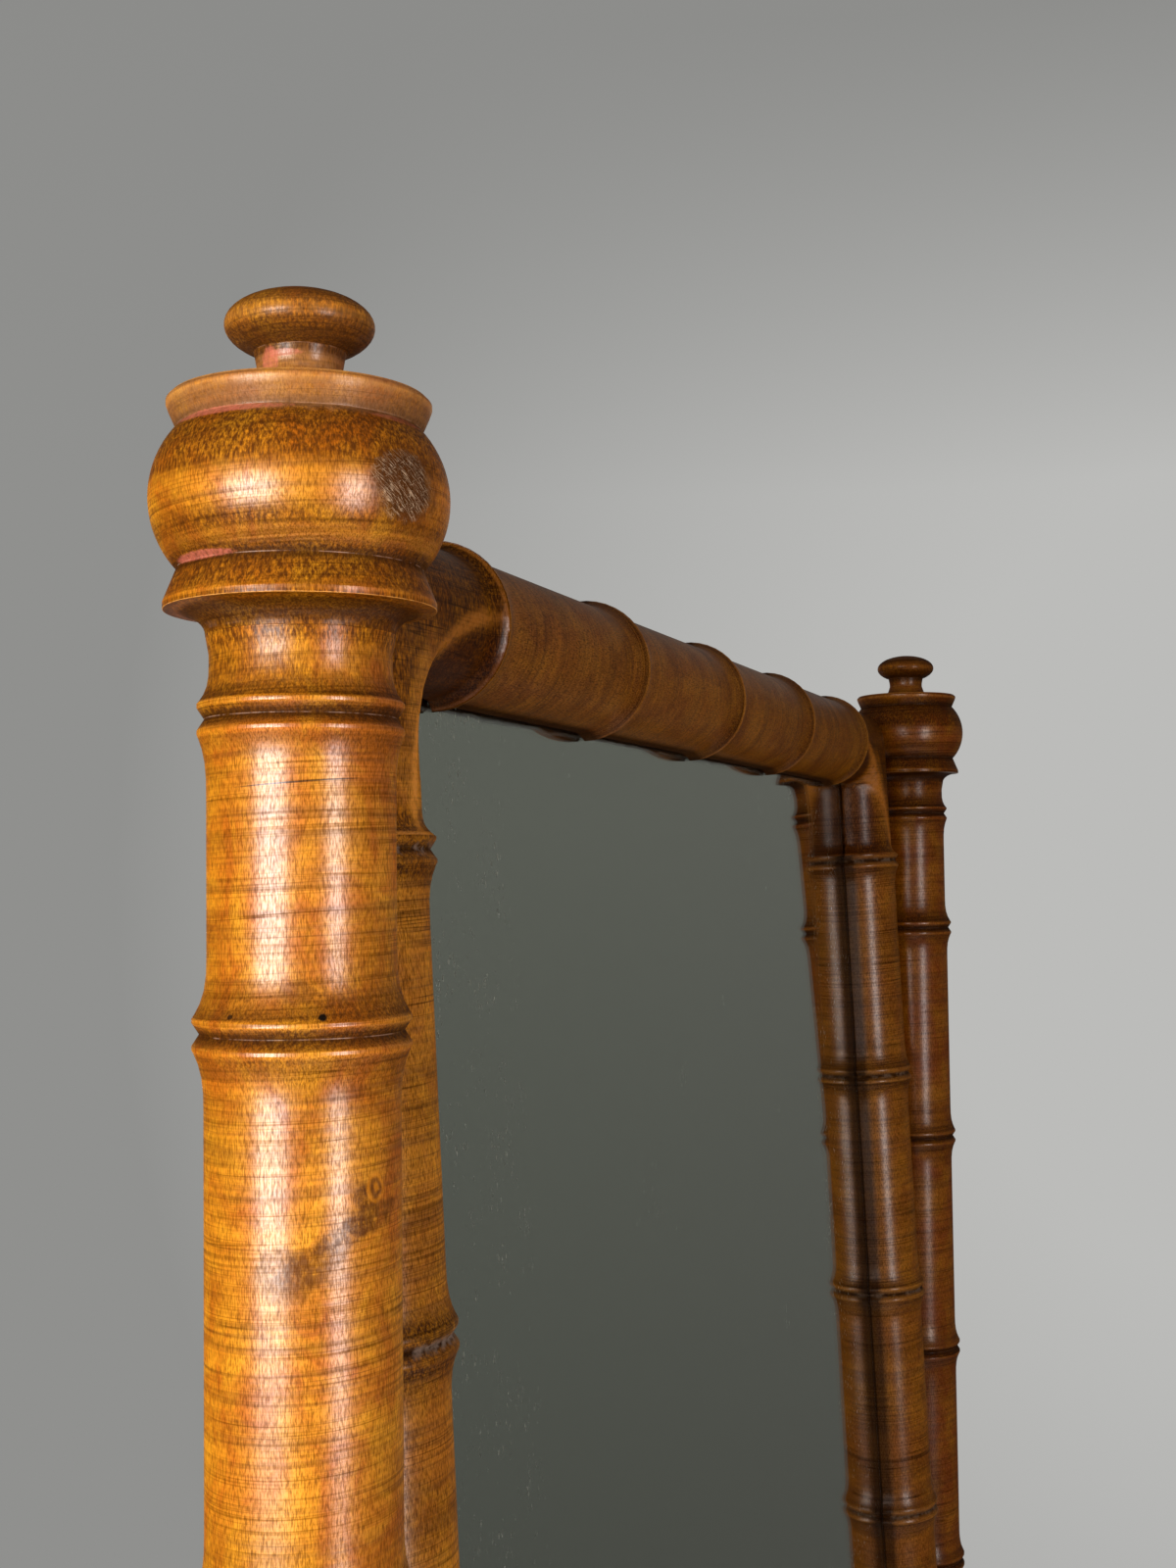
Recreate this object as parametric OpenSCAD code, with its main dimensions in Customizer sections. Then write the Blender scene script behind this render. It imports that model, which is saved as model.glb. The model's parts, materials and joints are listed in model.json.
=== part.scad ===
// Cheval mirror with turned posts, urn finials and a tilting ringed frame.
// X runs along the mirror's width, -Y is the front, Z is up and z = 0 is the floor.

/* [Overall] */
// Distance between the axes of the two posts
post_spacing = 777; // [700:1:850]
// Height of the pivot axis above the floor
pivot_height = 1090; // [1075:1:1150]
// Height of the widest level of the finial knobs above the pivot axis
knob_rise = 640; // [630:1:660]
// Lean of the mirror's top to the back, in degrees
lean = 2.4; // [0:0.1:8]

/* [Posts] */
// Radius of a post below its second ring pair
post_r = 21.9; // [20.5:0.1:22.5]
// Radius of a post between its first and second ring pairs
post_top_r = 21.2; // [20.5:0.1:22]
// Drop from the knob level to the first ring pair
first_pair_drop = 90; // [88:0.5:94]
// Drop from the knob level to the second ring pair
second_pair_drop = 160; // [150:1:170]
// Height of the lowest ring pair above the floor
last_pair_z = 177.4; // [172:0.1:180]
// Number of ring pairs below the first one
post_pair_count = 12; // [9:1:13]
// Radius of the first ring pair's edges
first_edge_r = 23.3; // [22.5:0.1:24]
// Radius of the neck under the finial
neck_r = 20.6; // [19:0.1:21.5]
// Distance over which the neck flares to the first ring pair
neck_flare = 9; // [7:0.5:10]
// Height of the post's bottom shoulder above the floor
post_foot_z = 109; // [107:0.5:112]
// Radius of the post's bottom neck
post_foot_r = 16; // [14:0.5:17]
// Height of the post's bottom neck
post_foot_height = 5; // [4:0.5:7]
// Radius of the bead over the bottom neck
post_bead_r = 26; // [24:0.5:28]
// Half of that bead's height
post_bead_half = 5; // [4:0.5:6]
// Radius of the round tenons at the post's ends
post_tenon_r = 9; // [7:0.5:11]
// Length of the round tenons at the post's ends
post_tenon_length = 26; // [20:1:30]

/* [Rings] */
// How far a ring's edge stands out from the wood round it
ring_proud = 2.6; // [2:0.1:3.2]
// Distance between the two edges of a pair
ring_pitch = 6; // [5:0.1:8]
// Width of an edge's flat top
ring_top = 0.8; // [0.5:0.1:1.2]
// Depth of the groove between the edges of a pair
groove_depth = 1.7; // [1.2:0.1:2]
// Distance over which the wood flares to an edge
flare_length = 14; // [10:0.5:15]
// The same at the end of a corner web
corner_flare = 7; // [5:0.5:9]

/* [Finials] */
// Radius of the urn at its widest
urn_r = 34; // [31:0.1:34.5]
// Radius of the grooves above and below the urn
urn_groove_r = 27.7; // [26:0.1:29]
// Drop from the knob level to the groove above the urn
urn_top_drop = 24.4; // [23:0.1:25]
// Drop from the knob level to the groove below the urn
urn_base_drop = 56.2; // [54:0.1:58]
// Radius of the finial's upper lip
upper_lip_r = 30; // [29:0.1:31]
// Drop from the knob level to the flat top of the finial
finial_top_drop = 17.2; // [16:0.1:18]
// Radius of the finial's lower lip
lower_lip_r = 30.8; // [29.5:0.1:31.5]
// Drop from the knob level to the lower lip
lower_lip_drop = 64.6; // [63:0.1:66]
// Drop from the knob level to the seam between finial and post
seam_drop = 71; // [70:0.1:73]
// Height of the flat edge of both lips
lip_edge = 0.8; // [0.6:0.1:1.2]
// Height of the upper lip below the finial's flat top
upper_lip_height = 3.4; // [3:0.1:4.2]
// Radius of the post's top at that seam
neck_top_r = 21.4; // [21:0.1:22.4]
// Height over which the neck widens to the seam
neck_top_height = 4.5; // [3.5:0.1:5]

/* [Knobs] */
// Radius of a finial knob
knob_r = 17.1; // [15:0.1:18]
// Half of a finial knob's thickness
knob_half = 7.9; // [6:0.1:8.5]
// Radius of the knob's stem at its waist
stem_r = 9.8; // [8:0.1:10]
// Radius of the stem where it meets the knob
stem_top_r = 10.4; // [9.5:0.1:11]
// Radius of the stem's flared base
stem_base_r = 12.2; // [11:0.1:13.5]
// Height of the stem's flared base
stem_base_height = 6; // [5:0.5:6.5]
// Height of the rim under that flare
stem_rim = 0.8; // [0.6:0.1:1.2]
// Radius of the peg under the stem
peg_r = 5; // [4:0.1:6]
// Length of the peg under the stem
peg_length = 16; // [12:1:18]

/* [Mirror frame] */
// Gap in plan between a post's axis and the axis of the stile beside it
stile_offset = 60; // [60:0.5:66]
// Distance from the pivot axis down to the bottom rail's axis
rail_drop = 661.5; // [640:0.5:668]
// Distance between the axes of the top and bottom rails
frame_height = 1250; // [1180:1:1260]
// Radius of the frame's turned front
member_r = 22.8; // [20:0.1:23]
// Distance from the turning axis back to the frame's flat back
back_depth = 15; // [14:0.5:17]
// Radius of the members at the corners
corner_r = 22; // [20:0.1:22.6]
// Reach of the hollow corner web along each member
corner_reach = 65; // [55:1:70]
// Distance of the web's flat front behind the members' round front
web_set = 0.3; // [0.2:0.1:1]
// Distance from a rail's axis to the nearest ring pair of a stile
stile_pair_inset = 67.5; // [66:0.5:80]
// Number of ring pairs on a stile
stile_pair_count = 10; // [8:1:11]
// Number of rings on a rail
rail_ring_count = 5; // [3:1:6]
// Distance of the rebate's wall from the turning axis
rebate_wall = 12; // [10:0.5:13]
// Distance of the glass face behind the turning axis
glass_set = 1; // [0.5:0.1:2]
// Radius of the dowels across the mitres
mitre_dowel_r = 4; // [3:0.5:5]
// Length of the dowels across the mitres
mitre_dowel_length = 34; // [28:1:38]
// Distance of those dowels in front of the turning axis
mitre_dowel_set = 6; // [5:0.5:8]

/* [Glass and back] */
// Thickness of the silvered glass
glass_thickness = 5; // [3:0.5:6]
// Gap between the glass edge and the rebate's wall
glass_play = 1; // [0.5:0.1:2]
// Thickness of the backboards
board_thickness = 5; // [4:0.5:8]
// Gap between neighbouring backboards
board_gap = 1; // [0.5:0.1:2]
// How far the backboards lap over the frame's back
board_lap = 13; // [11:0.5:14]
// Length of a glazing block
block_length = 60; // [40:1:80]
// Width of a glazing block
block_width = 9; // [7:0.5:11]
// Number of glazing blocks along each stile
blocks_per_stile = 5; // [4:1:6]
// Number of screws along each side of a backboard
screws_per_board = 3; // [3:1:4]
// Radius of a small screw
small_screw_r = 1.5; // [1.2:0.1:1.8]
// Radius of a small screw's head
small_head_r = 3.1; // [2.8:0.1:3.4]
// Height of that head's cone
small_head_depth = 1.9; // [1.5:0.1:2.2]
// Length of a small screw
small_screw_length = 13; // [10:0.5:14]

/* [Pivots] */
// Radius of the clamping screw
screw_r = 4; // [3:0.5:5]
// Clearance round the screw's end inside the stile
screw_room = 0.5; // [0.3:0.1:1]
// Radius of the flats bored in the post for collar and washer
flat_r = 12.4; // [11:0.1:13]
// Distance of those flats from the post's axis
flat_depth = 17.6; // [16:0.1:18]
// Radius of the spacer collar
collar_r = 11.8; // [10:0.1:12]
// Radius of the collar's waist
collar_waist_r = 9.4; // [8:0.1:10]
// Width of the collar's rim at the post
collar_rim = 6; // [4:0.5:7]
// Width of the collar's rim at the mirror
collar_end_rim = 3.5; // [2.5:0.5:5]
// Length of the slope from rim to waist
collar_slope = 2.5; // [1.5:0.5:4]
// Thickness of the washers
washer_thickness = 1.5; // [1:0.1:2]
// Width of the threaded plate
plate_width = 20; // [18:0.5:22]
// Height of the threaded plate
plate_height = 34; // [30:0.5:34]
// Thickness of the threaded plate
plate_thickness = 3; // [2:0.5:4]
// Depth of the plate's outer face inside the stile's round
plate_sink = 2.6; // [2.4:0.1:3.4]
// Distance of the plate's screws from its ends
plate_screw_inset = 5.5; // [4.5:0.5:6]
// Radius of the clamping knob
clamp_r = 17; // [15:0.5:20]
// Radius of the clamping knob's face against the washer
clamp_face_r = 10.5; // [9:0.5:11.5]
// Radius of the clamping knob's neck
clamp_neck_r = 8.5; // [7.5:0.5:9]
// Height of the clamping knob's crown
clamp_crown = 9; // [8:0.5:10]
// Length of the clamping knob along the screw
clamp_length = 27; // [24:0.5:32]
// Length of the screw inside the knob
screw_in_knob = 16; // [12:0.5:20]
// Length of the screw past the plate, inside the stile
screw_past_plate = 14; // [10:0.5:16]

/* [Base] */
// Height of the foot bars' axis above the floor
bar_z = 82; // [81:0.5:83]
// Radius of a foot bar
bar_r = 21; // [19:0.5:22]
// Length of a foot bar
bar_length = 520; // [480:1:600]
// Radius of the drum under a post
drum_r = 32; // [31.5:0.1:34]
// Half of the drum's length
drum_half = 30; // [28:0.5:36]
// Distance of a bun foot's axis from the bar's end
foot_inset = 45; // [40:1:55]
// Radius of the waist before the bar's end button
bar_waist_r = 15; // [13:0.5:16]
// Radius of the bar's end button
bar_button_r = 18; // [17:0.5:19]
// Half of the end button's length
bar_button_half = 5; // [4:0.5:6]
// Radius of a bun foot
foot_r = 26; // [23:0.5:28]
// Height of the bun foot's widest level
foot_round_z = 24; // [22:0.5:26]
// Radius of the bun foot's rounding
foot_round_r = 18; // [16:0.5:20]
// Radius of the bun foot's flat pad
foot_pad_r = 17; // [15:0.5:18]
// Radius of the bun foot's neck
foot_neck_r = 13; // [11:0.5:14]
// Height where that neck starts
foot_neck_z = 47; // [45:0.5:50]
// Radius of the peg on a bun foot
foot_peg_r = 6; // [5:0.5:7]
// Length of the peg above the bar's underside
foot_peg_length = 16; // [12:1:20]
// Radius of a bent brace
brace_r = 10; // [8:0.5:11]
// Radius of the brace's bend
brace_bend = 105; // [95:1:108]
// Radius of a brace's tenons
brace_tenon_r = 6; // [5:0.5:7]
// Length of a brace's tenons
brace_tenon_length = 14; // [11:0.5:15]
// How far a brace's rings stand out
brace_ring_proud = 1.8; // [1:0.1:2.5]
// Gap between the swinging frame and the upper stretcher
stretcher_clearance = 21.3; // [15:0.1:30]
// Distance between the axes of the two stretchers
stretcher_gap = 104; // [95:1:108]
// Radius of a stretcher
stretcher_r = 13; // [11:0.5:14]
// Radius of a stretcher's tenons
stretcher_tenon_r = 9; // [7:0.5:10]
// Depth of a stretcher's tenon in the post
stretcher_tenon_depth = 13; // [10:0.5:15]
// Length over which a stretcher tapers to its end
stretcher_taper = 30; // [22:1:32]
// Number of spindles between the stretchers
spindle_count = 5; // [3:2:5]
// Distance between the spindles
spindle_pitch = 118; // [60:1:120]
// Radius of a spindle
spindle_r = 7.5; // [6:0.5:9]
// Radius of a spindle's tenons
spindle_tenon_r = 5; // [4:0.5:5.5]
// Depth of a spindle's tenon in a stretcher
spindle_tenon_depth = 8; // [6:0.5:9]

/* [Hidden] */

$fn = 96;
eps = 0.01;
bore_play = 0.05;
bore_depth_play = 1;
running_gap = 0.3;
arc_steps = 10;
flare_steps = 5;
board_count = 3;

wood = "#a8662f";
dark_wood = "#7d4620";
pale_wood = "#c9a06a";
brass = "#b8944a";
steel = "#8a8d8f";
glass = "#7c8580";

half_spacing = post_spacing / 2;
knob_z = pivot_height + knob_rise;
post_edge_r = post_r + ring_proud;
post_pair_pitch = (knob_z - second_pair_drop - last_pair_z) / (post_pair_count - 1);

urn_sag = urn_r - urn_groove_r;
urn_half = (urn_base_drop - urn_top_drop) / 2;
urn_arc_r = (urn_half * urn_half + urn_sag * urn_sag) / (2 * urn_sag);
urn_arc_angle = asin(urn_half / urn_arc_r);
urn_middle_drop = (urn_base_drop + urn_top_drop) / 2;
lip_round = 1;
stem_base_slope = 3;
knob_underside = 1.8;

frame_width = post_spacing - 2 * stile_offset;
half_frame = frame_height / 2;
half_width = frame_width / 2;
rail_rise = frame_height - rail_drop;
frame_middle = rail_rise - half_frame;
swing_reach = max(rail_rise, rail_drop) + member_r + ring_proud;
member_edge_r = member_r + ring_proud;
stile_pair_pitch = (frame_height - 2 * stile_pair_inset) / (stile_pair_count - 1);
rail_ring_pitch = (frame_width - 2 * corner_reach) / (rail_ring_count - 1);
web_front = corner_r - web_set;
glass_back = glass_set + glass_thickness;
glass_inset = rebate_wall + glass_play;

board_edge = rebate_wall - board_lap;
board_face = back_depth + board_thickness;
boards_height = frame_height - 2 * board_edge;
board_height = (boards_height - (board_count - 1) * board_gap) / board_count;
board_screw_inset = board_edge + board_lap / 2 + 0.5;

plate_face = member_r - plate_sink;
plate_face_from_post = stile_offset - plate_face;
plate_screw_spread = plate_height / 2 - plate_screw_inset;
collar_end = plate_face_from_post - washer_thickness - running_gap;
knob_face = flat_depth + washer_thickness + running_gap;

bar_top = bar_z + bar_r;
bar_half = bar_length / 2;
foot_reach = bar_half - foot_inset;
foot_joint_r = post_foot_r + 0.6;
brace_centre_y = post_r - 1.6;
brace_height = bar_top + brace_bend;
brace_landing = brace_centre_y + brace_bend;
brace_end = 6;
brace_ring_angle = 1.1;
brace_ring_split = 1.3;
upper_stretcher_z = pivot_height - swing_reach - stretcher_clearance - stretcher_r - ring_proud;
lower_stretcher_z = upper_stretcher_z - stretcher_gap;
stretcher_end_r = stretcher_tenon_r + 1.5;
stretcher_shoulder = half_spacing - post_r;
spindle_bottom = lower_stretcher_z + stretcher_r - spindle_tenon_depth;
spindle_top = upper_stretcher_z - stretcher_r + spindle_tenon_depth;
spindle_middle = (spindle_bottom + spindle_top) / 2;
spindle_waist = spindle_r - 0.5;
spindle_flare = 8;
spindle_neck = 4;
spindle_taper = 10;

// Points on an arc round a centre, from angle start to angle end
function arc(centre, r, start, end, steps = arc_steps) =
    [for (i = [0:steps]) let (a = start + (end - start) * i / steps)
        [centre[0] + r * cos(a), centre[1] + r * sin(a)]];

// Points on an ellipse round a centre on the turning axis
function ellipse_arc(a_r, b_r, z, start, end, steps = 2 * arc_steps) =
    [for (i = [0:steps]) let (a = start + (end - start) * i / steps)
        [a_r * cos(a), z + b_r * sin(a)]];

// Share of a flare's length at its step i, closer together near the edge
function flare_share(i) = pow(i / flare_steps, 1.6);

// Radius of a flare at a share of its length from the edge
function flare_radius(edge, body, share) = body + (edge - body) * pow(1 - share, 3);

// Points up a hollow flare that widens from the body's radius to an edge at z
function rise(z, edge, body, length) =
    [for (i = [flare_steps:-1:0]) let (share = flare_share(i))
        [flare_radius(edge, body, share), z - share * length]];

// Points up a hollow flare that narrows from an edge at z to the body's radius
function fall(z, edge, body, length) =
    [for (i = [0:flare_steps]) let (share = flare_share(i))
        [flare_radius(edge, body, share), z + share * length]];

// Two sharp rings with a groove between them, flared to the radii below and above
function ring_pair(z, edge, below, above, down = flare_length, up = flare_length) = concat(
    rise(z - ring_pitch / 2 - ring_top / 2, edge, below, down),
    [
        [edge, z - ring_pitch / 2 + ring_top / 2],
        [edge - groove_depth, z],
        [edge, z + ring_pitch / 2 - ring_top / 2],
    ],
    fall(z + ring_pitch / 2 + ring_top / 2, edge, above, up)
);

// One sharp ring, flared to the radii below and above
function single_ring(z, edge, below, above, down = flare_length, up = flare_length) = concat(
    rise(z - ring_top / 2, edge, below, down),
    fall(z + ring_top / 2, edge, above, up)
);

// Joins lists of points into one list
function joined(lists) = [for (list = lists) for (p = list) p];

// The same points turned to the other side of z = 0, in reverse
function reflected(points) = [for (i = [len(points) - 1:-1:0]) [points[i][0], -points[i][1]]];

// Places its children at a post, with +X towards the mirror; side is -1 for left
module at_post(side) {
    translate([side * half_spacing, 0, 0]) rotate([0, 0, side > 0 ? 180 : 0]) children();
}

// Turns its children's +Y to the front or the rear; end is -1 for the front
module at_end(end) {
    rotate([0, 0, end < 0 ? 180 : 0]) children();
}

// Places its children in the mirror's own frame, with the pivot axis as its X axis
module in_mirror() {
    translate([0, 0, pivot_height]) rotate([-lean, 0, 0]) children();
}

// Places its children in a stile's frame: axis on Z, glass on the +X side
module at_stile(side) {
    in_mirror() mirror([side > 0 ? 1 : 0, 0, 0]) translate([-half_width, 0, frame_middle])
        children();
}

// Places its children in a rail's frame: axis on Z, glass on the +X side; end 1 is the top
module at_rail(end) {
    in_mirror() translate([0, 0, frame_middle + end * half_frame])
        rotate([0, end > 0 ? 90 : -90, 0]) children();
}

// A cylinder along X that starts at x = start
module bar_x(r, start, length) {
    translate([start, 0, 0]) rotate([0, 90, 0]) cylinder(r = r, h = length);
}

// A cylinder along Y that starts at y = start
module bar_y(r, start, length) {
    translate([0, start, 0]) rotate([-90, 0, 0]) cylinder(r = r, h = length);
}

// Points up the ring pairs of a post below its first one
post_pairs = joined([for (i = [post_pair_count - 1:-1:0])
    ring_pair(knob_z - second_pair_drop - i * post_pair_pitch, post_edge_r, post_r,
        i > 0 ? post_r : post_top_r)]);

// Points up a post, from its bottom shoulder to the seam under the finial
post_profile = concat(
    [
        [0, post_foot_z],
        [post_foot_r, post_foot_z],
        [post_foot_r, post_foot_z + post_foot_height],
    ],
    arc([post_bead_r - post_bead_half, post_foot_z + post_foot_height + 1.6 * post_bead_half],
        post_bead_half, -90, 90),
    [[post_r, post_foot_z + post_foot_height + 3.8 * post_bead_half]],
    post_pairs,
    ring_pair(knob_z - first_pair_drop, first_edge_r, post_top_r, neck_r, flare_length,
        neck_flare),
    [
        [neck_r, knob_z - seam_drop - neck_top_height],
        [neck_top_r, knob_z - seam_drop],
        [0, knob_z - seam_drop],
    ]
);

// A turned post, bored for the pivot, the stretchers, the braces and the finial
module post(side) {
    color(wood) at_post(side) difference() {
        union() {
            rotate_extrude() polygon(post_profile);
            translate([0, 0, post_foot_z - post_tenon_length])
                cylinder(r = post_tenon_r, h = post_tenon_length + eps);
        }
        translate([0, 0, knob_z - seam_drop - post_tenon_length])
            cylinder(r = post_tenon_r + bore_play, h = post_tenon_length + bore_depth_play);
        translate([0, 0, pivot_height]) {
            bar_x(screw_r + bore_play, -2 * post_r, 4 * post_r);
            bar_x(flat_r, flat_depth, post_r);
            bar_x(flat_r, -flat_depth - post_r, post_r);
        }
        for (z = [lower_stretcher_z, upper_stretcher_z])
            translate([0, 0, z])
                bar_x(stretcher_tenon_r + bore_play, post_r - stretcher_tenon_depth, 2 * post_r);
        for (end = [-1, 1])
            at_end(end) translate([0, 0, brace_height])
                bar_y(brace_tenon_r + bore_play,
                    brace_centre_y - brace_tenon_length + bore_depth_play, 2 * post_r);
    }
}

// Points up a finial, from its seam to its flat top
finial_profile = concat(
    [[0, -seam_drop]],
    [for (i = [0:arc_steps]) let (a = 180 - 90 * i / arc_steps)
        [
            lower_lip_r + (lower_lip_r - neck_top_r) * cos(a),
            -seam_drop + (seam_drop - lower_lip_drop - lip_edge) * sin(a),
        ]],
    [[lower_lip_r, -lower_lip_drop + lip_edge]],
    arc([urn_r - urn_arc_r, -urn_middle_drop], urn_arc_r, -urn_arc_angle, urn_arc_angle,
        2 * arc_steps),
    [
        [upper_lip_r - 0.6 * lip_round, -finial_top_drop - upper_lip_height],
        [upper_lip_r, -finial_top_drop - lip_round - lip_edge],
        [upper_lip_r, -finial_top_drop - lip_round],
        [upper_lip_r - lip_round, -finial_top_drop],
        [0, -finial_top_drop],
    ]
);

// An urn finial with the tenon that holds it in the post
module finial(side) {
    color(wood) at_post(side) translate([0, 0, knob_z]) difference() {
        union() {
            rotate_extrude() polygon(finial_profile);
            translate([0, 0, -seam_drop - post_tenon_length + bore_depth_play])
                cylinder(r = post_tenon_r, h = post_tenon_length);
        }
        translate([0, 0, -finial_top_drop - peg_length - bore_depth_play])
            cylinder(r = peg_r + bore_play, h = peg_length + 2 * bore_depth_play);
    }
}

// Points up a finial knob, from the end of its peg to its crown
finial_knob_profile = concat(
    [
        [0, -finial_top_drop - peg_length],
        [peg_r, -finial_top_drop - peg_length],
        [peg_r, -finial_top_drop],
        [stem_base_r, -finial_top_drop],
        [stem_base_r, -finial_top_drop + stem_rim],
        [stem_r + 1, -finial_top_drop + stem_base_slope],
        [stem_r, -finial_top_drop + stem_base_height],
        [stem_r, -knob_half - knob_underside],
    ],
    ellipse_arc(knob_r, knob_half, 0, -acos(stem_top_r / knob_r), 90)
);

// A button knob on its waisted stem
module finial_knob(side) {
    color(wood) at_post(side) translate([0, 0, knob_z]) rotate_extrude()
        polygon(finial_knob_profile);
}

// Points along half of a foot bar, from the middle of its drum to its end
bar_half_profile = concat(
    [[drum_r, 0]],
    arc([drum_r - 8, drum_half - 8], 8, 0, 70, 6),
    [[bar_r + 1.5, drum_half], [bar_r, drum_half + 8]],
    ring_pair((drum_half + brace_landing + 8) / 2, bar_r + ring_proud, bar_r, bar_r),
    ring_pair((foot_reach + brace_landing) / 2, bar_r + ring_proud, bar_r, bar_r),
    single_ring(foot_reach + foot_neck_r + 8, bar_r + ring_proud / 2, bar_r, bar_waist_r, 5, 9),
    arc([bar_button_r - bar_button_half, bar_half - bar_button_half], bar_button_half, -60, 90, 8),
    [[0, bar_half]]
);

// A turned foot bar with a drum for the post
module foot_bar(side) {
    color(wood) at_post(side) translate([0, 0, bar_z]) difference() {
        rotate([-90, 0, 0]) rotate_extrude() polygon(concat(reflected(bar_half_profile),
            bar_half_profile));
        translate([0, 0, post_foot_z - bar_z]) {
            cylinder(r = foot_joint_r, h = drum_r);
            translate([0, 0, -post_tenon_length - bore_depth_play])
                cylinder(r = post_tenon_r + bore_play,
                    h = post_tenon_length + 2 * bore_depth_play);
        }
        for (end = [-1, 1]) {
            translate([0, end * brace_landing, bar_r - brace_tenon_length - bore_depth_play])
                cylinder(r = brace_tenon_r + bore_play, h = 2 * bar_r);
            translate([0, end * foot_reach, -2 * bar_r])
                cylinder(r = foot_peg_r + bore_play,
                    h = bar_r + foot_peg_length + bore_depth_play);
        }
    }
}

// Points up a bun foot
foot_profile = concat(
    [[0, 0], [foot_pad_r, 0]],
    arc([foot_r - foot_round_r, foot_round_z], foot_round_r, -60, 60, arc_steps),
    [
        [foot_neck_r, foot_neck_z],
        [foot_neck_r, bar_z - bar_r / 2],
        [0, bar_z - bar_r / 2],
    ]
);

// A bun foot, hollowed to the bar's round, with its peg
module foot(side, end) {
    color(wood) at_post(side) at_end(end) translate([0, foot_reach, 0]) {
        difference() {
            rotate_extrude() polygon(foot_profile);
            translate([0, 0, bar_z]) bar_y(bar_r, -2 * foot_r, 4 * foot_r);
        }
        translate([0, 0, bar_z - bar_r - brace_end])
            cylinder(r = foot_peg_r, h = foot_peg_length + brace_end);
    }
}

// A quarter bend of a round rod in the YZ plane, over the given angles
module bend(r, start, sweep) {
    rotate([90, 0, 90]) rotate([0, 0, start]) rotate_extrude(angle = sweep, $fn = 144)
        translate([brace_bend, 0]) circle(r = r, $fn = 48);
}

// A bent brace from a post down to its foot bar
module brace(side, end) {
    color(wood) at_post(side) at_end(end) {
        difference() {
            translate([0, brace_centre_y, bar_top]) {
                bend(brace_r, 0, 90);
                for (a = [22.5, 45, 67.5], split = [-brace_ring_split, brace_ring_split])
                    bend(brace_r + brace_ring_proud, a + split - brace_ring_angle / 2,
                        brace_ring_angle);
                translate([0, brace_bend, -brace_end]) cylinder(r = brace_r, h = brace_end);
                translate([0, 0, brace_bend]) bar_y(brace_r, -brace_end, brace_end);
            }
            cylinder(r = post_r, h = pivot_height);
            translate([0, 0, bar_z]) bar_y(bar_r, 0, bar_length);
        }
        translate([0, 0, brace_height])
            bar_y(brace_tenon_r, brace_centre_y - brace_tenon_length + 2 * bore_depth_play,
                brace_tenon_length);
        translate([0, brace_landing, bar_top - brace_tenon_length])
            cylinder(r = brace_tenon_r, h = brace_tenon_length);
    }
}

// Points along half of a stretcher, from its middle to its end in the post
stretcher_half_profile = concat(
    [[stretcher_r, 0]],
    joined([for (i = [0:(spindle_count - 1) / 2])
        ring_pair((i + 0.5) * spindle_pitch, stretcher_r + ring_proud, stretcher_r,
            stretcher_r)]),
    [
        [stretcher_r, stretcher_shoulder - stretcher_taper],
        [stretcher_end_r, stretcher_shoulder - 4],
        [stretcher_end_r, stretcher_shoulder + 6],
        [stretcher_tenon_r, stretcher_shoulder + 6],
        [stretcher_tenon_r, stretcher_shoulder + stretcher_tenon_depth],
        [0, stretcher_shoulder + stretcher_tenon_depth],
    ]
);

// A turned stretcher between the posts, bored on one side for the spindles
module stretcher(z, bored_side) {
    color(wood) translate([0, 0, z]) {
        difference() {
            rotate([0, 90, 0]) rotate_extrude() polygon(concat(
                reflected(stretcher_half_profile), stretcher_half_profile));
            for (side = [-1, 1])
                translate([side * half_spacing, 0, -2 * stretcher_r])
                    cylinder(r = post_r, h = 4 * stretcher_r);
            for (i = [0:spindle_count - 1])
                translate([(i - (spindle_count - 1) / 2) * spindle_pitch, 0, 0])
                    rotate([bored_side > 0 ? 0 : 180, 0, 0])
                        translate([0, 0, stretcher_r - spindle_tenon_depth - bore_depth_play / 2])
                            cylinder(r = spindle_tenon_r + bore_play, h = 2 * stretcher_r);
        }
        for (side = [-1, 1])
            mirror([side > 0 ? 0 : 1, 0, 0])
                bar_x(stretcher_tenon_r, stretcher_shoulder - 2, stretcher_tenon_depth + 1);
    }
}

// The turned spindles between the two stretchers
module spindles() {
    color(wood) for (i = [0:spindle_count - 1])
        translate([(i - (spindle_count - 1) / 2) * spindle_pitch, 0, 0])
            rotate_extrude($fn = 64) polygon(concat(
                [
                    [0, spindle_bottom],
                    [spindle_tenon_r, spindle_bottom],
                    [spindle_tenon_r, spindle_bottom + spindle_tenon_depth + spindle_neck],
                    [
                        spindle_r,
                        spindle_bottom + spindle_tenon_depth + spindle_neck + spindle_taper,
                    ],
                ],
                ring_pair(spindle_middle, spindle_r + ring_proud / 2, spindle_waist,
                    spindle_waist, spindle_flare, spindle_flare),
                [
                    [
                        spindle_r,
                        spindle_top - spindle_tenon_depth - spindle_neck - spindle_taper,
                    ],
                    [spindle_tenon_r, spindle_top - spindle_tenon_depth - spindle_neck],
                    [spindle_tenon_r, spindle_top],
                    [0, spindle_top],
                ]
            ));
}

// The turned spacer between a post and the stile beside it
module collar(side) {
    color(wood) at_post(side) translate([0, 0, pivot_height]) difference() {
        rotate([0, 90, 0]) rotate_extrude() polygon([
            [0, flat_depth],
            [collar_r, flat_depth],
            [collar_r, flat_depth + collar_rim],
            [collar_waist_r, flat_depth + collar_rim + collar_slope],
            [collar_waist_r, collar_end - collar_end_rim - collar_slope],
            [collar_r, collar_end - collar_end_rim],
            [collar_r, collar_end],
            [0, collar_end],
        ]);
        bar_x(screw_r + bore_play, 0, 2 * collar_end);
    }
}

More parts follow.
